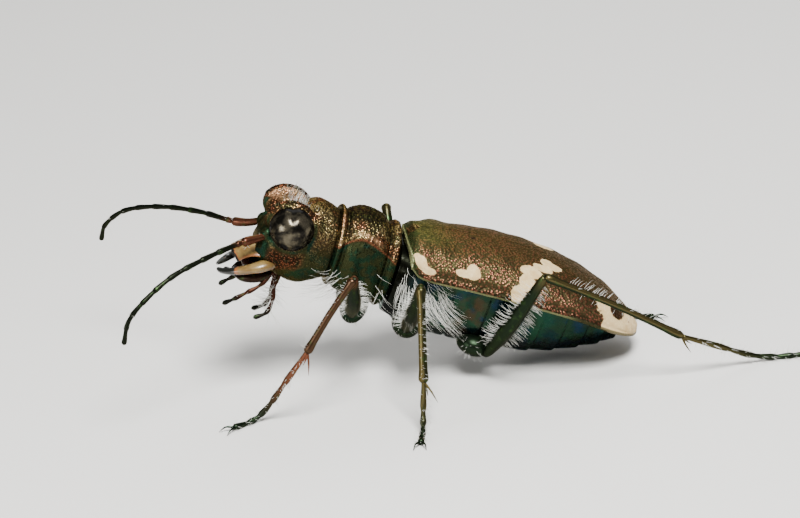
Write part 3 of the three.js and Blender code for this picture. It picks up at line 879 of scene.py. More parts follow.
def grow(name, skin_mesh, seed, **sizes):
    """Makes a plain mesh of bristles that grow on a skin."""
    carrier = add_object(name + "_carrier", skin_mesh)
    modifier = carrier.modifiers.new("bristles", "NODES")
    modifier.node_group = BRISTLE_TREE
    values = {"Seed": seed, "Material": BRISTLE}
    values.update({key.replace("_", " "): value for key, value in sizes.items()})
    for item in BRISTLE_TREE.interface.items_tree:
        if item.item_type == "SOCKET" and item.in_out == "INPUT" and item.name in values:
            modifier[item.identifier] = values[item.name]
    mesh = evaluated(carrier)
    carrier.modifiers.remove(modifier)
    bpy.data.objects.remove(carrier)
    for key in [a.name for a in mesh.attributes if a.name in USED_UP]:
        mesh.attributes.remove(mesh.attributes[key])
    piece(name, mesh, BRISTLE)


# %% [markdown]
# ## Wing cases
# Each is a thin arched shell. A ring here is one cross section: up the outside from the edge
# to the middle seam, and back down the inside. Round the edge runs a narrow raised rim, and at
# the shoulder the shell swells a little.

# %% The wing cases' curves
ELYTRA_START = -0.42
ELYTRA_LENGTH = 9.2
ELYTRA_HALF_WIDTH = 2.72
SHELL = 0.22
SEAM = 0.03
# An exponent below 1 makes a cross section squarer than an ellipse.
SQUARER = 1 / 1.2
# The inside of the shell takes every third angle of the outside, from the seam back down.
BACK_DOWN = slice(None, None, -3)
elytra_top = through(
    [[0, 1.38], [1.8, 1.6], [3.8, 1.62], [5.8, 1.33], [7.6, 0.74], [8.6, 0.16], [9.2, -0.32]]
)
elytra_edge = through([[0, 0.02], [1, 0.1], [4, 0.16], [6.5, 0.02], [8.2, -0.34], [9.2, -0.58]])


def elytra_half_width(s):
    u = np.clip(np.asarray(s) / ELYTRA_LENGTH, 0, 1)
    shoulder = 1 - 0.14 * bell(u, 0, 0.05)
    widening = 0.86 + 0.14 * step(u, 0, 0.55)
    tail = (1 - np.clip((u - 0.58) / 0.423, 0, 1) ** 2.7) ** 0.55
    return ELYTRA_HALF_WIDTH * shoulder * widening * tail


def wing_case(side, along=300, across=120):
    share = np.linspace(0, 1, along)[:, None]
    s = ELYTRA_START + (ELYTRA_LENGTH - ELYTRA_START) * share
    outer = np.sin(np.linspace(0, math.pi / 2, across))[None, :] * (math.pi / 2)
    inner = outer[:, BACK_DOWN]
    edge, top, wide = elytra_edge(s), elytra_top(s), elytra_half_width(s)
    nose = 1 - 0.26 * bell(s, ELYTRA_START, 0.22)

    def shell(angle, thick):
        rim = 0.045 * bell(angle, 0.05, 0.05) - 0.035 * bell(angle, 0.17, 0.07)
        swell = 0.09 * bell(s, 0.75, 0.5) * bell(angle, 0.75, 0.3)
        swell = swell - 0.05 * bell(s, 1.5, 0.6) * bell(angle, 1.1, 0.25)
        wave = 0.016 * np.sin(s * 5.2 + 2 * np.sin(angle * 5)) * np.sin(angle * 2)
        out = (wide - thick) * power(np.cos(angle), SQUARER)
        rise = (top - edge - thick) * power(np.sin(angle), SQUARER) * nose
        grow_out = (rim + swell + wave) * (thick == 0)
        v = out + grow_out * np.cos(angle)
        h = edge + rise + grow_out * np.sin(angle)
        v = np.maximum(v, SEAM + 0.001 * (angle < 1.5))
        h = h + 0.3 * bell(s, ELYTRA_START, 0.35) * np.cos(angle) ** 4
        place = s + 0.26 * np.cos(angle) ** 2 * (1 - share) ** 10
        return joined(place, side * v, h)

    thin = np.minimum(SHELL, np.minimum(0.6 * (top - edge), 0.5 * wide))
    section = np.concatenate([shell(outer, 0), shell(inner, thin)], 1)
    arc = np.linalg.norm(np.diff(section[:, :across], axis=1), axis=2)
    arc = np.concatenate([np.zeros((along, 1)), np.cumsum(arc, 1)], 1)
    arc = np.concatenate([arc, arc[:, BACK_DOWN]], 1)
    lie = np.stack([np.broadcast_to(s, arc.shape), arc, 0 * arc], -1)
    return Shape().add(trunk_to_room(section), lie)


for name, side in SIDES:
    shell_mesh = wing_case(side).mesh(f"wing_case_{name}")
    piece(f"wing_case_{name}", shell_mesh, WING_CASES, [f"elytron_{name}"])

# %% [markdown]
# ## Prothorax
# Behind the head comes a barrel with a raised collar at each end and a furrow behind each. Its
# back is copper, and below a bent line on each side it is dark green. Fine wrinkles run across
# it, and a painted pale gold highlight runs along the front collar.

# %% Prothorax
prothorax_top = through(
    [[-2.95, 1.5], [-2.72, 1.42], [-2.1, 1.62], [-1.4, 1.52], [-0.98, 1.28], [-0.68, 1.34]]
)
prothorax_wide = through(
    [[-2.95, 1.42], [-2.72, 1.38], [-2.1, 1.64], [-1.4, 1.56], [-0.98, 1.4], [-0.68, 1.46]]
)
prothorax_bottom = through([[-2.95, -1.5], [-2.1, -1.8], [-1.2, -2.0], [-0.55, -1.85]])
side_line = through(
    [[-2.85, 0.35], [-2.42, 0.72], [-2.07, 0.86], [-1.66, 0.76], [-1.22, 0.56], [-0.7, 0.25]]
)
COLLARS = [-3.0, -0.55]


def section(s, angle, wide, top, bottom, middle):
    c, k = np.cos(angle), np.sin(angle)
    reach = np.where(k > 0, top - middle, middle - bottom)
    return joined(s, wide * c, middle + reach * k)


def prothorax(along=150, across=200):
    s = np.linspace(*COLLARS, along)[:, None]
    angle = round_angles(across)
    grid = section(s, angle, prothorax_wide(s), prothorax_top(s), prothorax_bottom(s), 0.1)
    height = grid[..., 2]
    above = np.abs(np.sin(angle)) * (np.sin(angle) > 0)
    furrow = -0.07 * (bell(s, -2.66, 0.07) + bell(s, -0.98, 0.08))
    collar = 0.05 * (bell(s, -2.82, 0.08) + bell(s, -0.8, 0.09))
    seam = -0.05 * above * bell(np.cos(angle), 0, 0.03) * bell(s, -1.8, 0.7)
    ridge = 0.05 * bell(height - side_line(s), 0, 0.07) * bell(s, -1.85, 0.8)
    wrinkle = 0.014 * np.sin(s * 34 + 3 * np.sin(angle * 7)) * above * bell(s, -1.85, 0.75)
    ends = -0.25 * (bell(s, COLLARS[0], 0.05) + bell(s, COLLARS[1], 0.05))
    push = furrow + collar + seam + ridge + wrinkle + ends
    out = outward(angle)
    grid = grid + out * push[..., None]
    tone = 1 - step(height - side_line(s), -0.13, 0.05)
    front = bell(s, -2.55, 0.3) * bell(height, -1.15, 0.5)
    front = front + 0.6 * bell(s, -2.1, 0.5) * bell(height, -1.7, 0.3)
    rear = 0.4 * bell(s, -0.9, 0.3) * bell(height, -0.9, 0.6)
    hair = np.clip(front + rear, 0, 1) * (height < -0.2)
    top = 1.1 * step(height, 1.2, 1.5) + 0.7 * (bell(s, -2.62, 0.09) + bell(s, -0.98, 0.1))
    top = top - 0.8 * bell(height - side_line(s), 0.14, 0.1) * bell(s, -1.85, 0.8)
    # Below zero near s = -2.88 the front collar is painted pale gold: a painted highlight along its
    # ridge.
    top = top - 1.4 * bell(s, -2.88, 0.035) * step(height, -0.2, 0.3) - 0.4 * bell(s, -2.77, 0.04)
    lie = joined(angle / TURN, (s + 3) / 2.4, top)
    comb = joined(-1.15 * step(-s, 1.5, 2.4), 0.0, -0.65)
    return Shape().add(trunk_to_room(grid), lie, tone, hair, comb)


prothorax_mesh = prothorax().mesh("prothorax_shell")
piece("prothorax_shell", prothorax_mesh, THORAX_FINISH, ["prothorax"])
grow("prothorax_bristles", prothorax_mesh, 11, Per_square_mm=34.0, Length_mm=1.9,
     Thickness_mm=0.014, Lean=1.3, Spread=0.42, Bend=40.0)

# %% [markdown]
# ## The small shield
# Between the shoulders, where the wing cases meet the prothorax, lies a small pointed shield.
# It is too small to need a solid of its own, so it is one tube that narrows to its point.


# %% The shield
def scutellum():
    t = np.linspace(0, 1, 24)[:, None]
    angle = round_angles(40)
    wide = 0.62 * (1 - t) ** 0.8 + 0.02
    thick = 0.16 * (1 - t * 0.6)
    s = -0.32 + 0.85 * t + 0 * angle
    v = wide * np.cos(angle)
    h = 1.22 + 0.12 * t - 0.25 * bell(t, 0, 0.15) + thick * np.sin(angle)
    return Shape().add(trunk_to_room(joined(s, v, h)))


piece("scutellum_shield", scutellum().mesh("scutellum_shield"), THORAX_FINISH)

# %% [markdown]
# ## Underside and abdomen
# Under the wing cases the hind body is one glossy keel: the chest in front, then the belly
# of overlapping plates, each with a step at its hind edge.

# %% The hind body
belly_wide = through(
    [[-0.5, 1.38], [0.2, 1.75], [1.5, 2.05], [4, 2.2], [6.2, 1.9], [7.6, 1.25], [8.5, 0.5]]
)
belly_bottom = through(
    [[-0.5, -2.1], [0.3, -2.35], [1.6, -2.5], [4.2, -2.42], [6, -2.08], [7.6, -1.5], [8.5, -1.12]]
)
PLATE_EDGES = [3.05, 4.2, 5.2, 6.15, 7.05, 7.85]


def hind_body(along=240, across=120):
    s = np.linspace(-0.5, 8.45, along)[:, None]
    angle = round_angles(across)
    ledge = elytra_edge(np.maximum(s, 0)) - 0.1
    roof = np.maximum(ledge + 0.05, elytra_top(np.maximum(s, 0)) - 0.5)
    grid = section(s, angle, belly_wide(s), roof, belly_bottom(s), ledge)
    push = 0 * s
    for edge in PLATE_EDGES:
        push = push + 0.06 * np.where(s < edge, bell(s, edge, 0.5), -0.6 * bell(s, edge, 0.12))
    for edge in (0.15, 1.55):
        push = push - 0.08 * bell(s + 0.5 * np.sin(angle), edge, 0.06)
    out = outward(angle)
    below = step(-np.sin(angle), 0.02, 0.2)
    grid = grid + out * (push * below)[..., None]
    height = grid[..., 2]
    flank = bell(height, -0.62, 0.45) * step(s, -0.45, -0.1) * (1 - step(s, 1.1, 1.9))
    lie = joined(angle / TURN, (s + 1) / 10, 0.0)
    fan = 0.6 * step(s, -0.5, 1.4) - 0.3
    comb = joined(fan, np.sign(np.cos(angle)) * 0.1, -1.1)
    # shade paints the front end near black, as shade in the gap behind the prothorax.
    shade = 1 - step(s, -0.2, 0.4)
    return Shape().add(trunk_to_room(grid), lie, shade, flank, comb)


body_mesh = hind_body().mesh("hind_body_shell")
piece("hind_body_shell", body_mesh, UNDERSIDE, ["hind_thorax", "abdomen"])
grow("flank_brush", body_mesh, 21, Per_square_mm=95.0, Length_mm=1.75, Thickness_mm=0.018, Lean=1.8,
     Spread=0.24, Bend=40.0)

# %% [markdown]
# ## Head
# The head is several swellings run together: the barrel itself, a raised plate over each eye,
# a ring round each eye and the cheeks. Such a form is easiest as separate closed shapes that
# overlap, remeshed into one skin and smoothed. Remesh has a smallest cell, so the head is
# made a thousand times too large and then brought down.

# %% Head
HEAD_FRONT, HEAD_BACK = -5.78, -3.0
head_top = through(
    [[-5.78, -0.35], [-5.68, 0.1], [-5.4, 0.7], [-5, 1.08], [-4.3, 1.36], [-3.7, 1.55], [-3.0, 1.3]]
)
head_wide = through(
    [[-5.78, 0.82], [-5.55, 1.06], [-5.25, 1.24], [-4.8, 1.38], [-4, 1.44], [-3.0, 1.2]]
)
head_bottom = through(
    [[-5.78, -0.95], [-5.5, -1.25], [-5, -1.5], [-4.3, -1.74], [-3.7, -1.7], [-3.0, -1.3]]
)
HEAD_CELL = 0.035
SOFTENED = 6


def head_barrel(along=90, across=120):
    s = np.linspace(HEAD_FRONT, HEAD_BACK, along)[:, None]
    angle = round_angles(across)
    middle = -0.15 - 0.5 * step(-s, 4.8, 5.78)
    c, k = power(np.cos(angle), 0.9), power(np.sin(angle), 0.9)
    reach = np.where(k > 0, head_top(s) - middle, middle - head_bottom(s))
    grid = joined(s, head_wide(s) * c, middle + reach * k)
    hollow = 0.16 * bell(s, -4.75, 0.6) * bell(np.cos(angle), 0, 0.42) * (np.sin(angle) > 0)
    lip = 0.1 * bell(s, -5.45, 0.08) * (np.sin(angle) > -0.3)
    neck = 0.03 * bell(s, -3.55, 0.2)
    out = outward(angle)
    return trunk_to_room(grid - out * (hollow + lip + neck)[..., None])


def eye_ring(side, thick=0.085):
    angle = np.linspace(0, TURN, 40)
    spread = 0.86
    at_v = side * (EYE_AT[1] - 0.32)
    at_s = EYE_AT[0] + spread * EYE_R[0] * np.cos(angle)
    at_h = EYE_AT[2] + spread * EYE_R[2] * np.sin(angle)
    radii = [(0, thick), (1, thick)]
    ring = trunk_to_room(joined(at_s, at_v, at_h))
    return tube(ring, radii, 12, up=(0, 1, 0.05), rings=60)[0]


def remeshed(shape, name):
    """One skin round several overlapping closed shapes, in millimetres as if in metres."""
    mesh = shape.mesh(name, 1.0)
    face_outwards(mesh)
    obj = add_object(name, mesh)
    wrap = obj.modifiers.new("wrap", "REMESH")
    wrap.mode = "VOXEL"
    wrap.voxel_size = HEAD_CELL
    soften = obj.modifiers.new("soften", "SMOOTH")
    soften.factor = 0.5
    soften.iterations = SOFTENED
    result = evaluated(obj)
    bpy.data.objects.remove(obj)
    return result


def room_to_trunk(points):
    rel = points - WAIST - SHIFT
    s = rel[:, 0] * math.cos(PITCH) - rel[:, 2] * math.sin(PITCH)
    h = rel[:, 0] * math.sin(PITCH) + rel[:, 2] * math.cos(PITCH)
    return np.stack([s, rel[:, 1], h], -1)


def shrink(mesh, describe):
    """Brings a remeshed form to life size and gives its points lie, tone, hair and comb."""
    count = len(mesh.vertices)
    points = np.empty(count * 3)
    mesh.vertices.foreach_get("co", points)
    points = points.reshape(-1, 3)
    values = describe(room_to_trunk(points))
    mesh.vertices.foreach_set("co", (points * MM).ravel())
    for key in POINT_KEYS:
        shape = (count, 3) if key in ("lie", "comb") else (count,)
        store_values(mesh, key, np.broadcast_to(np.asarray(values[key], float), shape))
    return mesh


def bead_ripple(share, angle):
    return 0.022 * np.sin(share * 150) + 0 * angle


def beads(side):
    """The row of small beads along the upper edge of a plate."""
    arc = np.linspace(0.08, 0.92, 24) * math.pi
    line = joined(PLATE_S - 0.9 * np.cos(arc), side * 0.98, PLATE_H + 0.72 * np.sin(arc))
    radii = [(0, 0.05), (1, 0.05)]
    return tube(trunk_to_room(line), radii, 12, rings=90, ripple=bead_ripple)[0]


def swelling(centre, radii):
    return trunk_to_room(ball(centre, radii))


PLATE_S, PLATE_H = -4.82, 0.78
PLATE_R = (0.94, 0.26, 0.74)
head_shape = Shape().add(head_barrel())
for _, side in SIDES:
    head_shape.add(swelling((PLATE_S, side * 0.92, PLATE_H), PLATE_R))
    head_shape.add(beads(side))
    head_shape.add(swelling((-4.76, side * 0.95, -0.35), (0.75, 0.42, 0.62)))
    head_shape.add(swelling((-5.5, side * 0.86, -0.02), (0.28, 0.26, 0.3)))
    head_shape.add(eye_ring(side))
head_shape.add(swelling((-4.9, 0, -1.35), (0.6, 0.55, 0.35)))


def describe_head(points):
    """lie, tone, hair and comb of the head's skin from each point's place on the trunk."""
    s, v, h = points.T
    low = (1 - step(h, -1.15, -0.7)) * step(s, -4.9, -4.3)
    out = np.hypot(s - EYE_AT[0], h - EYE_AT[2])
    rim = bell(out, 0.9, 0.13) * (h < 0.9) * (np.abs(v) > 0.7)
    face = step(-s, 5.2, 5.5) * (1 - step(h, 0.1, 0.5))
    under = 1 - step(h, -1.35, -1.0)
    nape = 0.9 * step(s, -4.25, -3.95) * (1 - step(h, -0.3, 0.3 + 0.6 * step(s, -3.9, -3.6)))
    low = np.clip(low + rim + face + under + nape, 0, 1)
    tuft = bell(s, -4.6, 0.42) * bell(np.abs(v), 0.74, 0.16) * (h > 1.0)
    cheek = (1 - step(h, -0.5, -0.2)) * (1 - step(s, -4.3, -3.8))
    top = 0.5 * step(h, 1.2, 1.5) * step(s, -4.2, -3.8)
    inner_face = step(np.abs(v), 0.5, 0.7) * (1 - step(np.abs(v), 0.96, 1.04))
    plate = step(h, 0.8, 1.05) * (1 - step(s, -4.2, -3.9)) * inner_face
    from_plate = np.hypot((s - PLATE_S) / PLATE_R[0], (h - PLATE_H) / PLATE_R[2])
    crest = step(from_plate, 0.86, 0.95) * step(h, 0.7, 0.9)
    crest = crest * step(np.abs(v), 0.6, 0.8) * (1 - step(s, -4.2, -3.9))
    zone = cheek + top + 0.8 * crest - plate * (1 - crest)
    lie = joined(np.arctan2(h, v) / TURN + 0.5, (s + 6) / 3.2, zone)
    return {"lie": lie, "tone": low, "hair": tuft, "comb": (0.2, 0, 1.0)}


head_mesh = shrink(remeshed(head_shape, "head_skin"), describe_head)
piece("head_skin", head_mesh, HEAD_FINISH, ["head"])
grow("brow_bristles", head_mesh, 31, Per_square_mm=170.0, Length_mm=0.6, Thickness_mm=0.012,
     Lean=1.0)

# %% [markdown]
# ## Eyes
# Each eye is more than half a ball, with a shallow notch in its upper edge. The facets are far
# too many to model, so they are cells in the finish. The side that faces the head is hidden
# in the skin, so it is simply cut flat.

# %% Eyes
EYE_INNER = 0.97


def eye(side):
    grid = ball((0, 0, 0), EYE_R, 96, 64)
    turn = np.arctan2(grid[..., 2], grid[..., 0])
    notch = 0.07 * bell(turn, 1.75, 0.2) * step(np.hypot(grid[..., 0], grid[..., 2]), 0.3, 0.75)
    grid = grid * (1 - notch)[..., None] + EYE_AT * [1, side, 1]
    grid[..., 1] = side * np.maximum(side * grid[..., 1], EYE_INNER)
    return Shape().add(trunk_to_room(grid))


for name, side in SIDES:
    piece(f"eye_globe_{name}", eye(side).mesh(f"eye_globe_{name}"), EYE, [f"eye_{name}"])


# %% [markdown]
# ## Upper lip
# Above the jaws lies the upper lip, an ivory plate with a toothed front edge. It is one tube
# along the head, flattened to a plate, and its last rings are drawn out where the teeth are.


# %% Upper lip
def lip(across=60, along=30):
    u = np.linspace(0, 1, along)[:, None]
    angle = round_angles(across)
    flat = power(np.cos(angle), 0.6)
    off = np.abs(flat)
    teeth = 0.10 * (bell(flat, 0, 0.12) + bell(off, 0.32, 0.08) + 0.7 * bell(off, 0.6, 0.08))
    s = -5.55 - 0.98 * u * (1 - 0.24 * flat**2) - teeth * u**3
    v = flat * (0.98 - 0.16 * u)
    thick = 0.14 * (1 - 0.75 * u**2)
    h = -0.62 - 0.45 * u**2 - 0.26 * flat**2 + thick * np.sin(angle)
    marks = 0.85 * step(u, 0.9, 1.0) + 0.5 * bell(u, 0.6, 0.05) * bell(off, 0.45, 0.05)
    margin = 0.28 * step(off, 0.88, 0.98) + 0.3 * bell(u, 0.08, 0.07)
    tone = np.broadcast_to(marks + margin, h.shape)
    return Shape().add(trunk_to_room(joined(s, v, h)), tone=tone)


piece("upper_lip", lip().mesh("upper_lip"), IVORY, ["labrum"])


# %% [markdown]
# ## Jaws
# The long curved jaws cross at their tips, and each carries black teeth on its inner side. A jaw
# is a flattened tube along an arc, and a tooth is a short cone from a point of that arc.


# %% Jaws
JAW_PATH = [(-4.9, 0.75, -1.0), (-5.5, 1.05, -1.27), (-6.2, 0.95, -1.62), (-6.7, 0.5, -1.9)]
JAW_TIPS = {-1: (-6.86, -0.12, -1.96), 1: (-6.86, 0.26, -1.96)}
JAW_RADII = [(0, 0.26), (0.22, 0.30), (0.4, 0.25), (0.6, 0.20), (0.8, 0.16), (0.95, 0.09), (1, 0.02)]
# Each tooth: its share of the way along the jaw, and its length in mm.
JAW_TEETH = ((0.42, 0.40), (0.58, 0.34), (0.72, 0.28))


def jaw(side):
    path = np.array([*(np.array(JAW_PATH) * [1, side, 1]), JAW_TIPS[side]])
    grid, lie = tube(trunk_to_room(path), JAW_RADII, 28, 0.72, rings=60)
    shape = Shape()
    inner = np.cos(lie[..., 0] * TURN) * side
    below = step(-np.sin(lie[..., 0] * TURN), 0.5, 0.85)
    teeth = step(-inner, 0.35, 0.75) * step(lie[..., 1], 0.15, 0.3)
    tone = np.clip(step(lie[..., 1], 0.5, 0.68) + teeth + below, 0, 1)
    shape.add(grid, lie, tone)
    for place, long in JAW_TEETH:
        root = smooth_path(path, 101)[int(place * 100)]
        tip = root + np.array([-0.16, -side * long, 0.02])
        line = trunk_to_room([root, (root + tip) / 2, tip])
        shape.add(tube(line, [(0, 0.14), (0.6, 0.10), (1, 0.02)], 10)[0], tone=1.0)
    return shape


for name, side in SIDES:
    piece(f"jaw_{name}", jaw(side).mesh(f"jaw_{name}"), IVORY, [f"mandible_{name}"])

# %% [markdown]
# ## Palps
# The palps are two pairs of short limbs that hang from the mouth, and white bristles stand on
# the inner pair. A palp is a string of joints, each wider towards its end, so its tube's radius
# rises and falls once for each joint.

# %% Palps
PALP_PATHS = {
    "maxillary": [(-4.9, 0.8, -1.4), (-5.25, 0.98, -1.95), (-5.73, 1.1, -2.36), (-6.1, 1.12, -2.68),
                  (-6.45, 1.05, -2.98)],
    "labial": [(-4.5, 0.32, -1.3), (-4.62, 0.34, -2.0), (-4.56, 0.4, -2.65), (-4.66, 0.45, -3.14),
               (-5.09, 0.5, -3.44)],
}
PALP_ENDS = [0.3, 0.55, 0.8, 1.0]
PALP_SEEDS = {"left": 41, "right": 42}


def joints(ends, thick, thin):
    """Pairs for tube(): each joint narrow at its start and wide just before its end."""
    pairs, start = [(0, thin)], 0
    for end in ends:
        span = end - start
        pairs += [(start + 0.12 * span, thin), (end - 0.18 * span, thick)]
        pairs += [(end - 0.02 * span, thick * 0.8)]
        start = end
    return pairs[:-1] + [(1, thick * 0.3)]


def palp(kind, side):
    path = trunk_to_room(np.array(PALP_PATHS[kind]) * [1, side, 1])
    grid, lie = tube(path, joints(PALP_ENDS, 0.095, 0.06), 16, rings=60)
    hair = 1.0 if kind == "labial" else 0.08
    tone = step(lie[..., 1], 0.5, 0.9)
    bearded = step(lie[..., 1], 0.15, 0.3) * (1 - step(lie[..., 1], 0.76, 0.82))
    return Shape().add(grid, lie, tone, hair * bearded, (-0.9, 0, -0.3))


for name, side in SIDES:
    for kind in PALP_PATHS:
        mesh = palp(kind, side).mesh(f"palp_{kind}_joints_{name}")
        piece(f"palp_{kind}_joints_{name}", mesh, PALP, [f"palp_{kind}_{name}"])
        grow(f"palp_{kind}_bristles_{name}", mesh, PALP_SEEDS[name], Per_square_mm=80.0,
             Length_mm=0.75, Thickness_mm=0.018)

# %% [markdown]
# ## Maxillae and chin
# Under the jaws the mouth is closed by the chin and by a second, smaller pair of curved jaws,
# the maxillae. They stay in shadow, so one ball and two tapered tubes in one piece are enough.

# %% Maxillae and chin
MAXILLA_PATH = [(-5.0, 0.7, -1.5), (-5.45, 0.85, -1.72), (-5.9, 0.75, -1.9), (-6.25, 0.4, -1.98)]
MAXILLA_RADII = [(0, 0.2), (0.3, 0.26), (0.7, 0.17), (1, 0.03)]
mouth = Shape()
mouth.add(swelling((-5.45, 0.0, -1.5), (0.6, 0.72, 0.3)))
for _, side in SIDES:
    path = trunk_to_room(np.array(MAXILLA_PATH) * [1, side, 1])
    mouth.add(tube(path, MAXILLA_RADII, 20, 0.8, rings=40)[0], tone=0.6)
piece("mouth_floor", mouth.mesh("mouth_floor"), PALP)

# %% [markdown]
# ## Feelers
# A feeler has eleven joints. The first is thick and copper, and the rest soon turn dull and
# dark. One tube that swells before each joint's end gives the joints without seams.

# %% Feelers
ANTENNOMERES = np.array([0.9, 0.32, 1.1, 0.9, 0.92, 0.88, 0.82, 0.76, 0.7, 0.64, 0.66])
FEELER_PATHS = {
    "left": [(-5.6, -0.95, -0.08), (-6.06, -1.15, -0.26), (-6.58, -1.42, -0.47), (-7.59, -2.2, -0.93),
             (-8.78, -3.05, -1.66), (-9.53, -3.55, -2.5), (-10.04, -3.9, -3.44), (-10, -4, -4.37)],
    "right": [(-5.6, 0.95, -0.12), (-5.99, 1.1, -0.34), (-6.52, 1.42, -0.54), (-7.59, 2.75, -0.91),
              (-8.92, 4.2, -1.54), (-10.03, 5.4, -2.4), (-10.52, 6.2, -3.41), (-10.47, 6.6, -4.19)],
}


FEELER_START = 0.02


def feeler(name):
    path = trunk_to_room(FEELER_PATHS[name])
    ends = FEELER_START + (1 - FEELER_START) * np.cumsum(ANTENNOMERES) / ANTENNOMERES.sum()
    pairs = [(0, 0.13)]
    start = FEELER_START
    for n, end in enumerate(ends):
        thick = 0.175 if n == 0 else 0.125 - 0.003 * n
        thin = 0.14 if n == 0 else 0.098 - 0.002 * n
        span = end - start
        pairs += [(start + 0.05 * span, thin), (start + 0.5 * span, (thin + thick) / 2)]
        pairs += [(end - 0.1 * span, thick), (end - 0.02 * span, thick * 0.85)]
        start = end
    pairs = pairs[:-1] + [(1, 0.03)]
    grid, lie = tube(path, pairs, 18, rings=200)
    near_end = sum(bell(lie[..., 1], end - 0.012, 0.006) for end in ends)
    hair = np.clip(near_end, 0, 1) * step(lie[..., 1], 0.08, 0.12) + 0.02
    tone = step(lie[..., 1], 0.1, 0.22)
    return Shape().add(grid, lie, tone, hair, (-0.6, 0, 0))


FEELER_LENGTHS = ["scape", "base", "middle", "tip"]
for name in FEELER_PATHS:
    mesh = feeler(name).mesh(f"feeler_{name}")
    piece(f"feeler_{name}", mesh, FEELER, [f"antenna_{name}_{part}" for part in FEELER_LENGTHS])
    grow(f"feeler_bristles_{name}", mesh, 51, Per_square_mm=34.0, Length_mm=0.28,
         Thickness_mm=0.012, Lean=1.2)

# %% [markdown]
# ## Legs
# A leg has a round coxa set in the body, a thick femur, a long thin tibia with two spurs at its
# end, a foot of five short joints and two claws. White bristles stand in rows along femur and
# tibia.

# %% The legs' joints
COXAE = {
    "front": ((-1.6, 0.72, -1.95), (0.55, 0.5, 0.78)),
    "mid": ((0.5, 0.85, -2.1), (0.6, 0.6, 0.65)),
    "hind": ((3.1, 1.3, -2.15), (0.72, 0.8, 0.5)),
}
LEGS = {
    "front": {
        "left": [(-5.5, -4.0, 5.34), (-7.47, -4.3, 2.77), (-9.35, -3.6, 0), (-10.41, -4.31, 0)],
        "right": [(-4.95, 3.7, 4.6), (-4.85, 5.0, 2.2), (-4.9, 6.0, 0), (-5.2, 7.6, 0)],
    },
    "mid": {
        "left": [(-3.1, -4.2, 4.84), (-3.38, -5.7, 1.68), (-3.6, -6.5, 0), (-3.8, -7.57, 0)],
        "right": [(-3.52, 4.0, 5.2), (-3.4, 5.6, 2.1), (-3.0, 6.6, 0), (-2.6, 7.8, 0)],
    },
    "hind": {
        "left": [(1.47, -4.2, 4.73), (6.5, -3.8, 1.68), (9.6, -2.9, 0), (11.7, -2.9, 0)],
        "right": [(-0.9, 3.6, 3.9), (3.3, 3.5, 1.1), (4.6, 3.2, 0), (6.4, 2.4, 0)],
    },
}
TARSOMERES = np.array([0.36, 0.2, 0.16, 0.11, 0.17])
FOOT_THICK = 0.12
LOWEST = 0.005
SPIKE = [(0, 0.05), (0.6, 0.03), (1, 0.006)]
FEMUR_THICK = {"front": 0.30, "mid": 0.31, "hind": 0.29}
SHIN_THICK = {"front": 0.138, "mid": 0.15, "hind": 0.13}


def femur_root(leg, side):
    (s, v, h), r = COXAE[leg]
    hind = leg == "hind"
    aside = 0.5 if hind else 0.1
    return trunk_to_room((s + 0.4 * hind, side * (v + aside), h - 0.5 * r[2]))


def femur_groove(share, angle):
    return -0.012 * np.abs(np.sin(angle * 2)) * np.sin(math.pi * np.clip(share, 0, 1))


def shin_groove(share, angle):
    return -0.006 * np.abs(np.sin(2 * angle)) + 0 * share


def spike(points):
    """A spur or a claw: a short tube that ends in a point."""
    return tube(points, SPIKE, 8)[0]


def on_floor(grid):
    """Lifts what would dip into the floor."""
    grid[..., 2] = np.maximum(grid[..., 2], LOWEST)
    return grid


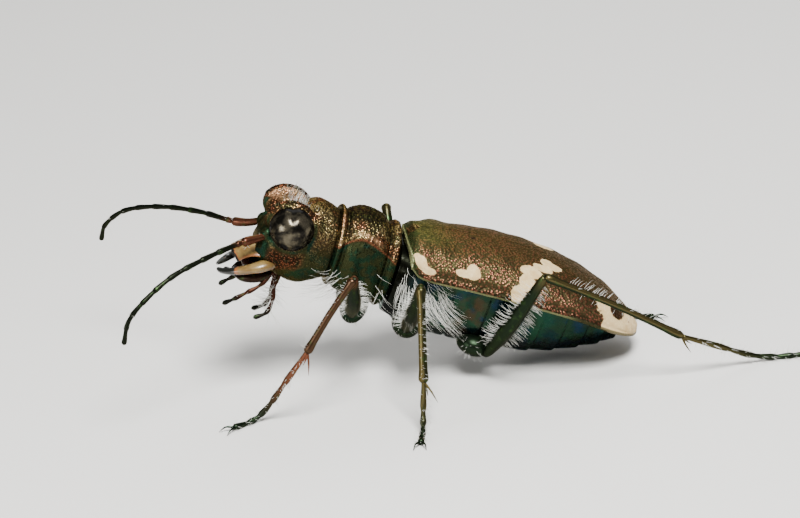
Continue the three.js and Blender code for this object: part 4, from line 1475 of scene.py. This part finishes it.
def leg_shape(leg, name, side):
    """A leg from its coxa to its foot, and its two claws."""
    knee, ankle, touch, tip = (np.array(p, float) for p in LEGS[leg][name])
    root = femur_root(leg, side)
    bend = root + 0.45 * (knee - root) + np.array([0, side * 0.28, 0])
    thick = FEMUR_THICK[leg]
    shape, claws = Shape(), Shape()

    profile = [(0, 0.05), (0.03, 0.15), (0.1, 0.22), (0.35, thick), (0.6, thick * 0.9)]
    profile += [(0.85, 0.19), (0.95, 0.17), (1, 0.13)]
    up = (0.05, side, 0.02)
    grid, lie = tube([root, bend, knee], profile, 28, up=up, rings=50, ripple=femur_groove)
    stripe = np.abs(np.cos(lie[..., 0] * TURN)) ** 12
    hair = stripe * step(lie[..., 1], 0.12, 0.25) * (1 - step(lie[..., 1], 0.85, 0.95))
    # The femur turns towards the far colour at the knee: a painted highlight there.
    shape.add(grid, lie, 0.05 + 0.5 * step(lie[..., 1], 0.8, 1.0), hair, (0, 0, -0.55))

    thin = SHIN_THICK[leg]
    shin = [(0, 0.1), (0.03, thin + 0.04), (0.12, thin + 0.01), (0.5, thin), (0.85, thin + 0.01)]
    shin += [(0.97, thin + 0.035), (1, 0.1)]
    heading = (ankle - knee) / np.linalg.norm(ankle - knee)
    bow = np.array([0, 0, 0.08])
    middle = knee + 0.5 * (ankle - knee) + bow
    grid, lie = tube([knee, middle, ankle], shin, 20, rings=70, ripple=shin_groove)
    above = np.sin(lie[..., 0] * TURN)
    rows = np.abs(above) ** 6 * np.where(above > 0, 0.6, 0.2)
    # A gold line along one side of each shin, copper on the front legs, is a painted highlight.
    facing = np.cos(lie[..., 0] * TURN - 0.5)
    if leg == "hind":
        gold_highlight_line = 0.05 + 0.95 * step(facing, 0.6, 0.95)
    else:
        gold_highlight_line = 0.35 + 0.65 * step(facing, 0.2, 0.8)
    shape.add(grid, lie, gold_highlight_line, rows * step(lie[..., 1], 0.08, 0.2), 0.8 * heading)

    away = np.array([-heading[2], side * 0.35, heading[0]])
    away *= -np.sign(away[2]) / np.linalg.norm(away)
    for spread, long in ((0.9, 0.95), (0.35, 0.7)):
        start = ankle - 0.06 * heading
        end = start + long * (0.75 * heading + spread * 0.6 * away)
        shape.add(spike([start, (start + end) / 2 + 0.03 * away, end]), tone=0.9)

    heel = np.array([*touch[:2], FOOT_THICK])
    toe = np.array([*tip[:2], FOOT_THICK])
    fall, reach = heel - ankle, toe - heel
    path = [ankle, ankle + 0.45 * fall, ankle + 0.86 * fall, heel + 0.25 * reach, toe]
    grid, lie = tube(path, joints(np.cumsum(TARSOMERES), 0.125, 0.088), 14, rings=60)
    tone = 0.7 - 0.6 * step(lie[..., 1], 0.1, 0.8)
    hair = 0.35 * step(lie[..., 1], 0.05, 0.1)
    shape.add(on_floor(grid), lie, tone, hair, (0, 0, -0.8))

    ahead = reach / np.linalg.norm(reach)
    across = np.array([-ahead[1], ahead[0], 0])
    for turn in (-1, 1):
        start = toe - 0.1 * ahead
        middle = toe + 0.2 * ahead + 0.17 * turn * across + np.array([0, 0, 0.05])
        end = toe + 0.46 * ahead + 0.24 * turn * across - np.array([0, 0, 0.08])
        claws.add(on_floor(spike([start, middle, end])))
    centre, radii = np.array(COXAE[leg])
    coxa = swelling(centre * [1, side, 1], radii * 0.96)
    shape.add(coxa, hair=0.12, comb=(0, 0, -0.9))
    return shape, claws


# %% [markdown]
# ## Six legs with their bristles
# Every leg stands for its four solids. The claws are pieces of their own, so they can be changed
# without the foot. The bristles of the hind legs are longer, as in the photo, and all are grown
# on the leg's own mesh.

# %% Legs and their bristles
BRISTLE_LENGTHS = {"front": 0.48, "mid": 0.48, "hind": 0.62}
for leg in LEGS:
    for number, (name, side) in enumerate(SIDES):
        shape, claws = leg_shape(leg, name, side)
        mesh = shape.mesh(f"leg_{leg}_{name}")
        nodes = [f"{part}_{leg}_{name}" for part in ("coxa", "femur", "tibia", "tarsus")]
        finish = FORELEG if leg == "front" else LEG
        piece(f"leg_{leg}_{name}", mesh, finish, nodes)
        piece(f"claws_{leg}_{name}", claws.mesh(f"claws_{leg}_{name}"), finish)
        grow(f"leg_bristles_{leg}_{name}", mesh, 61 + number, Per_square_mm=150.0,
             Length_mm=BRISTLE_LENGTHS[leg], Thickness_mm=0.015, Lean=0.2, Spread=0.06)

# %% [markdown]
# ## Floor and light
# A plain pale floor and soft studio light: the main lamp high on the camera's side, which draws
# the shine along the back, a weak one behind, one in front of the head, and an even grey world.

# %% Floor, lamps and world
floor_mesh = bpy.data.meshes.new("floor")
HALF_FLOOR = 1.5
corners = [(x * HALF_FLOOR, y * HALF_FLOOR, 0) for x, y in ((-1, -1), (1, -1), (1, 1), (-1, 1))]
floor_mesh.from_pydata(corners, [], [(0, 1, 2, 3)])
floor = add_object("floor", floor_mesh)
pale = Finish("pale_floor")
chalk = pale.mix(pale.noise(40), paint(0.62, 0.61, 0.58), paint(0.60, 0.59, 0.56))
pale.set(Base_Color=chalk, Roughness=0.8)
floor_mesh.materials.append(pale.material)

# Each lamp: its name, where it hangs, its width in metres and its power in watts.
LAMPS = (
    ("key", (0.01, -0.06, 0.11), 0.05, 0.50),
    ("rear", (0.02, 0.09, 0.08), 0.07, 0.08),
    ("fill", (-0.10, -0.06, 0.04), 0.05, 0.10),
)
LAMPS_AIM = Vector((0, 0, 0.003))
WORLD_GREY = (0.75, 0.78, 0.82, 1)
WORLD_STRENGTH = 0.24
for name, place, size, watts in LAMPS:
    lamp = bpy.data.lights.new(name, "AREA")
    lamp.size = size
    lamp.energy = watts
    obj = add_object(name, lamp)
    obj.location = place
    obj.rotation_euler = (LAMPS_AIM - Vector(place)).to_track_quat("-Z", "Y").to_euler()

world = bpy.data.worlds.new("studio")
world.use_nodes = True
sky = world.node_tree.nodes["Background"].inputs
sky[0].default_value = WORLD_GREY
sky[1].default_value = WORLD_STRENGTH
bpy.context.scene.world = world
print(len(LAMPS), "lamps and an even grey world")
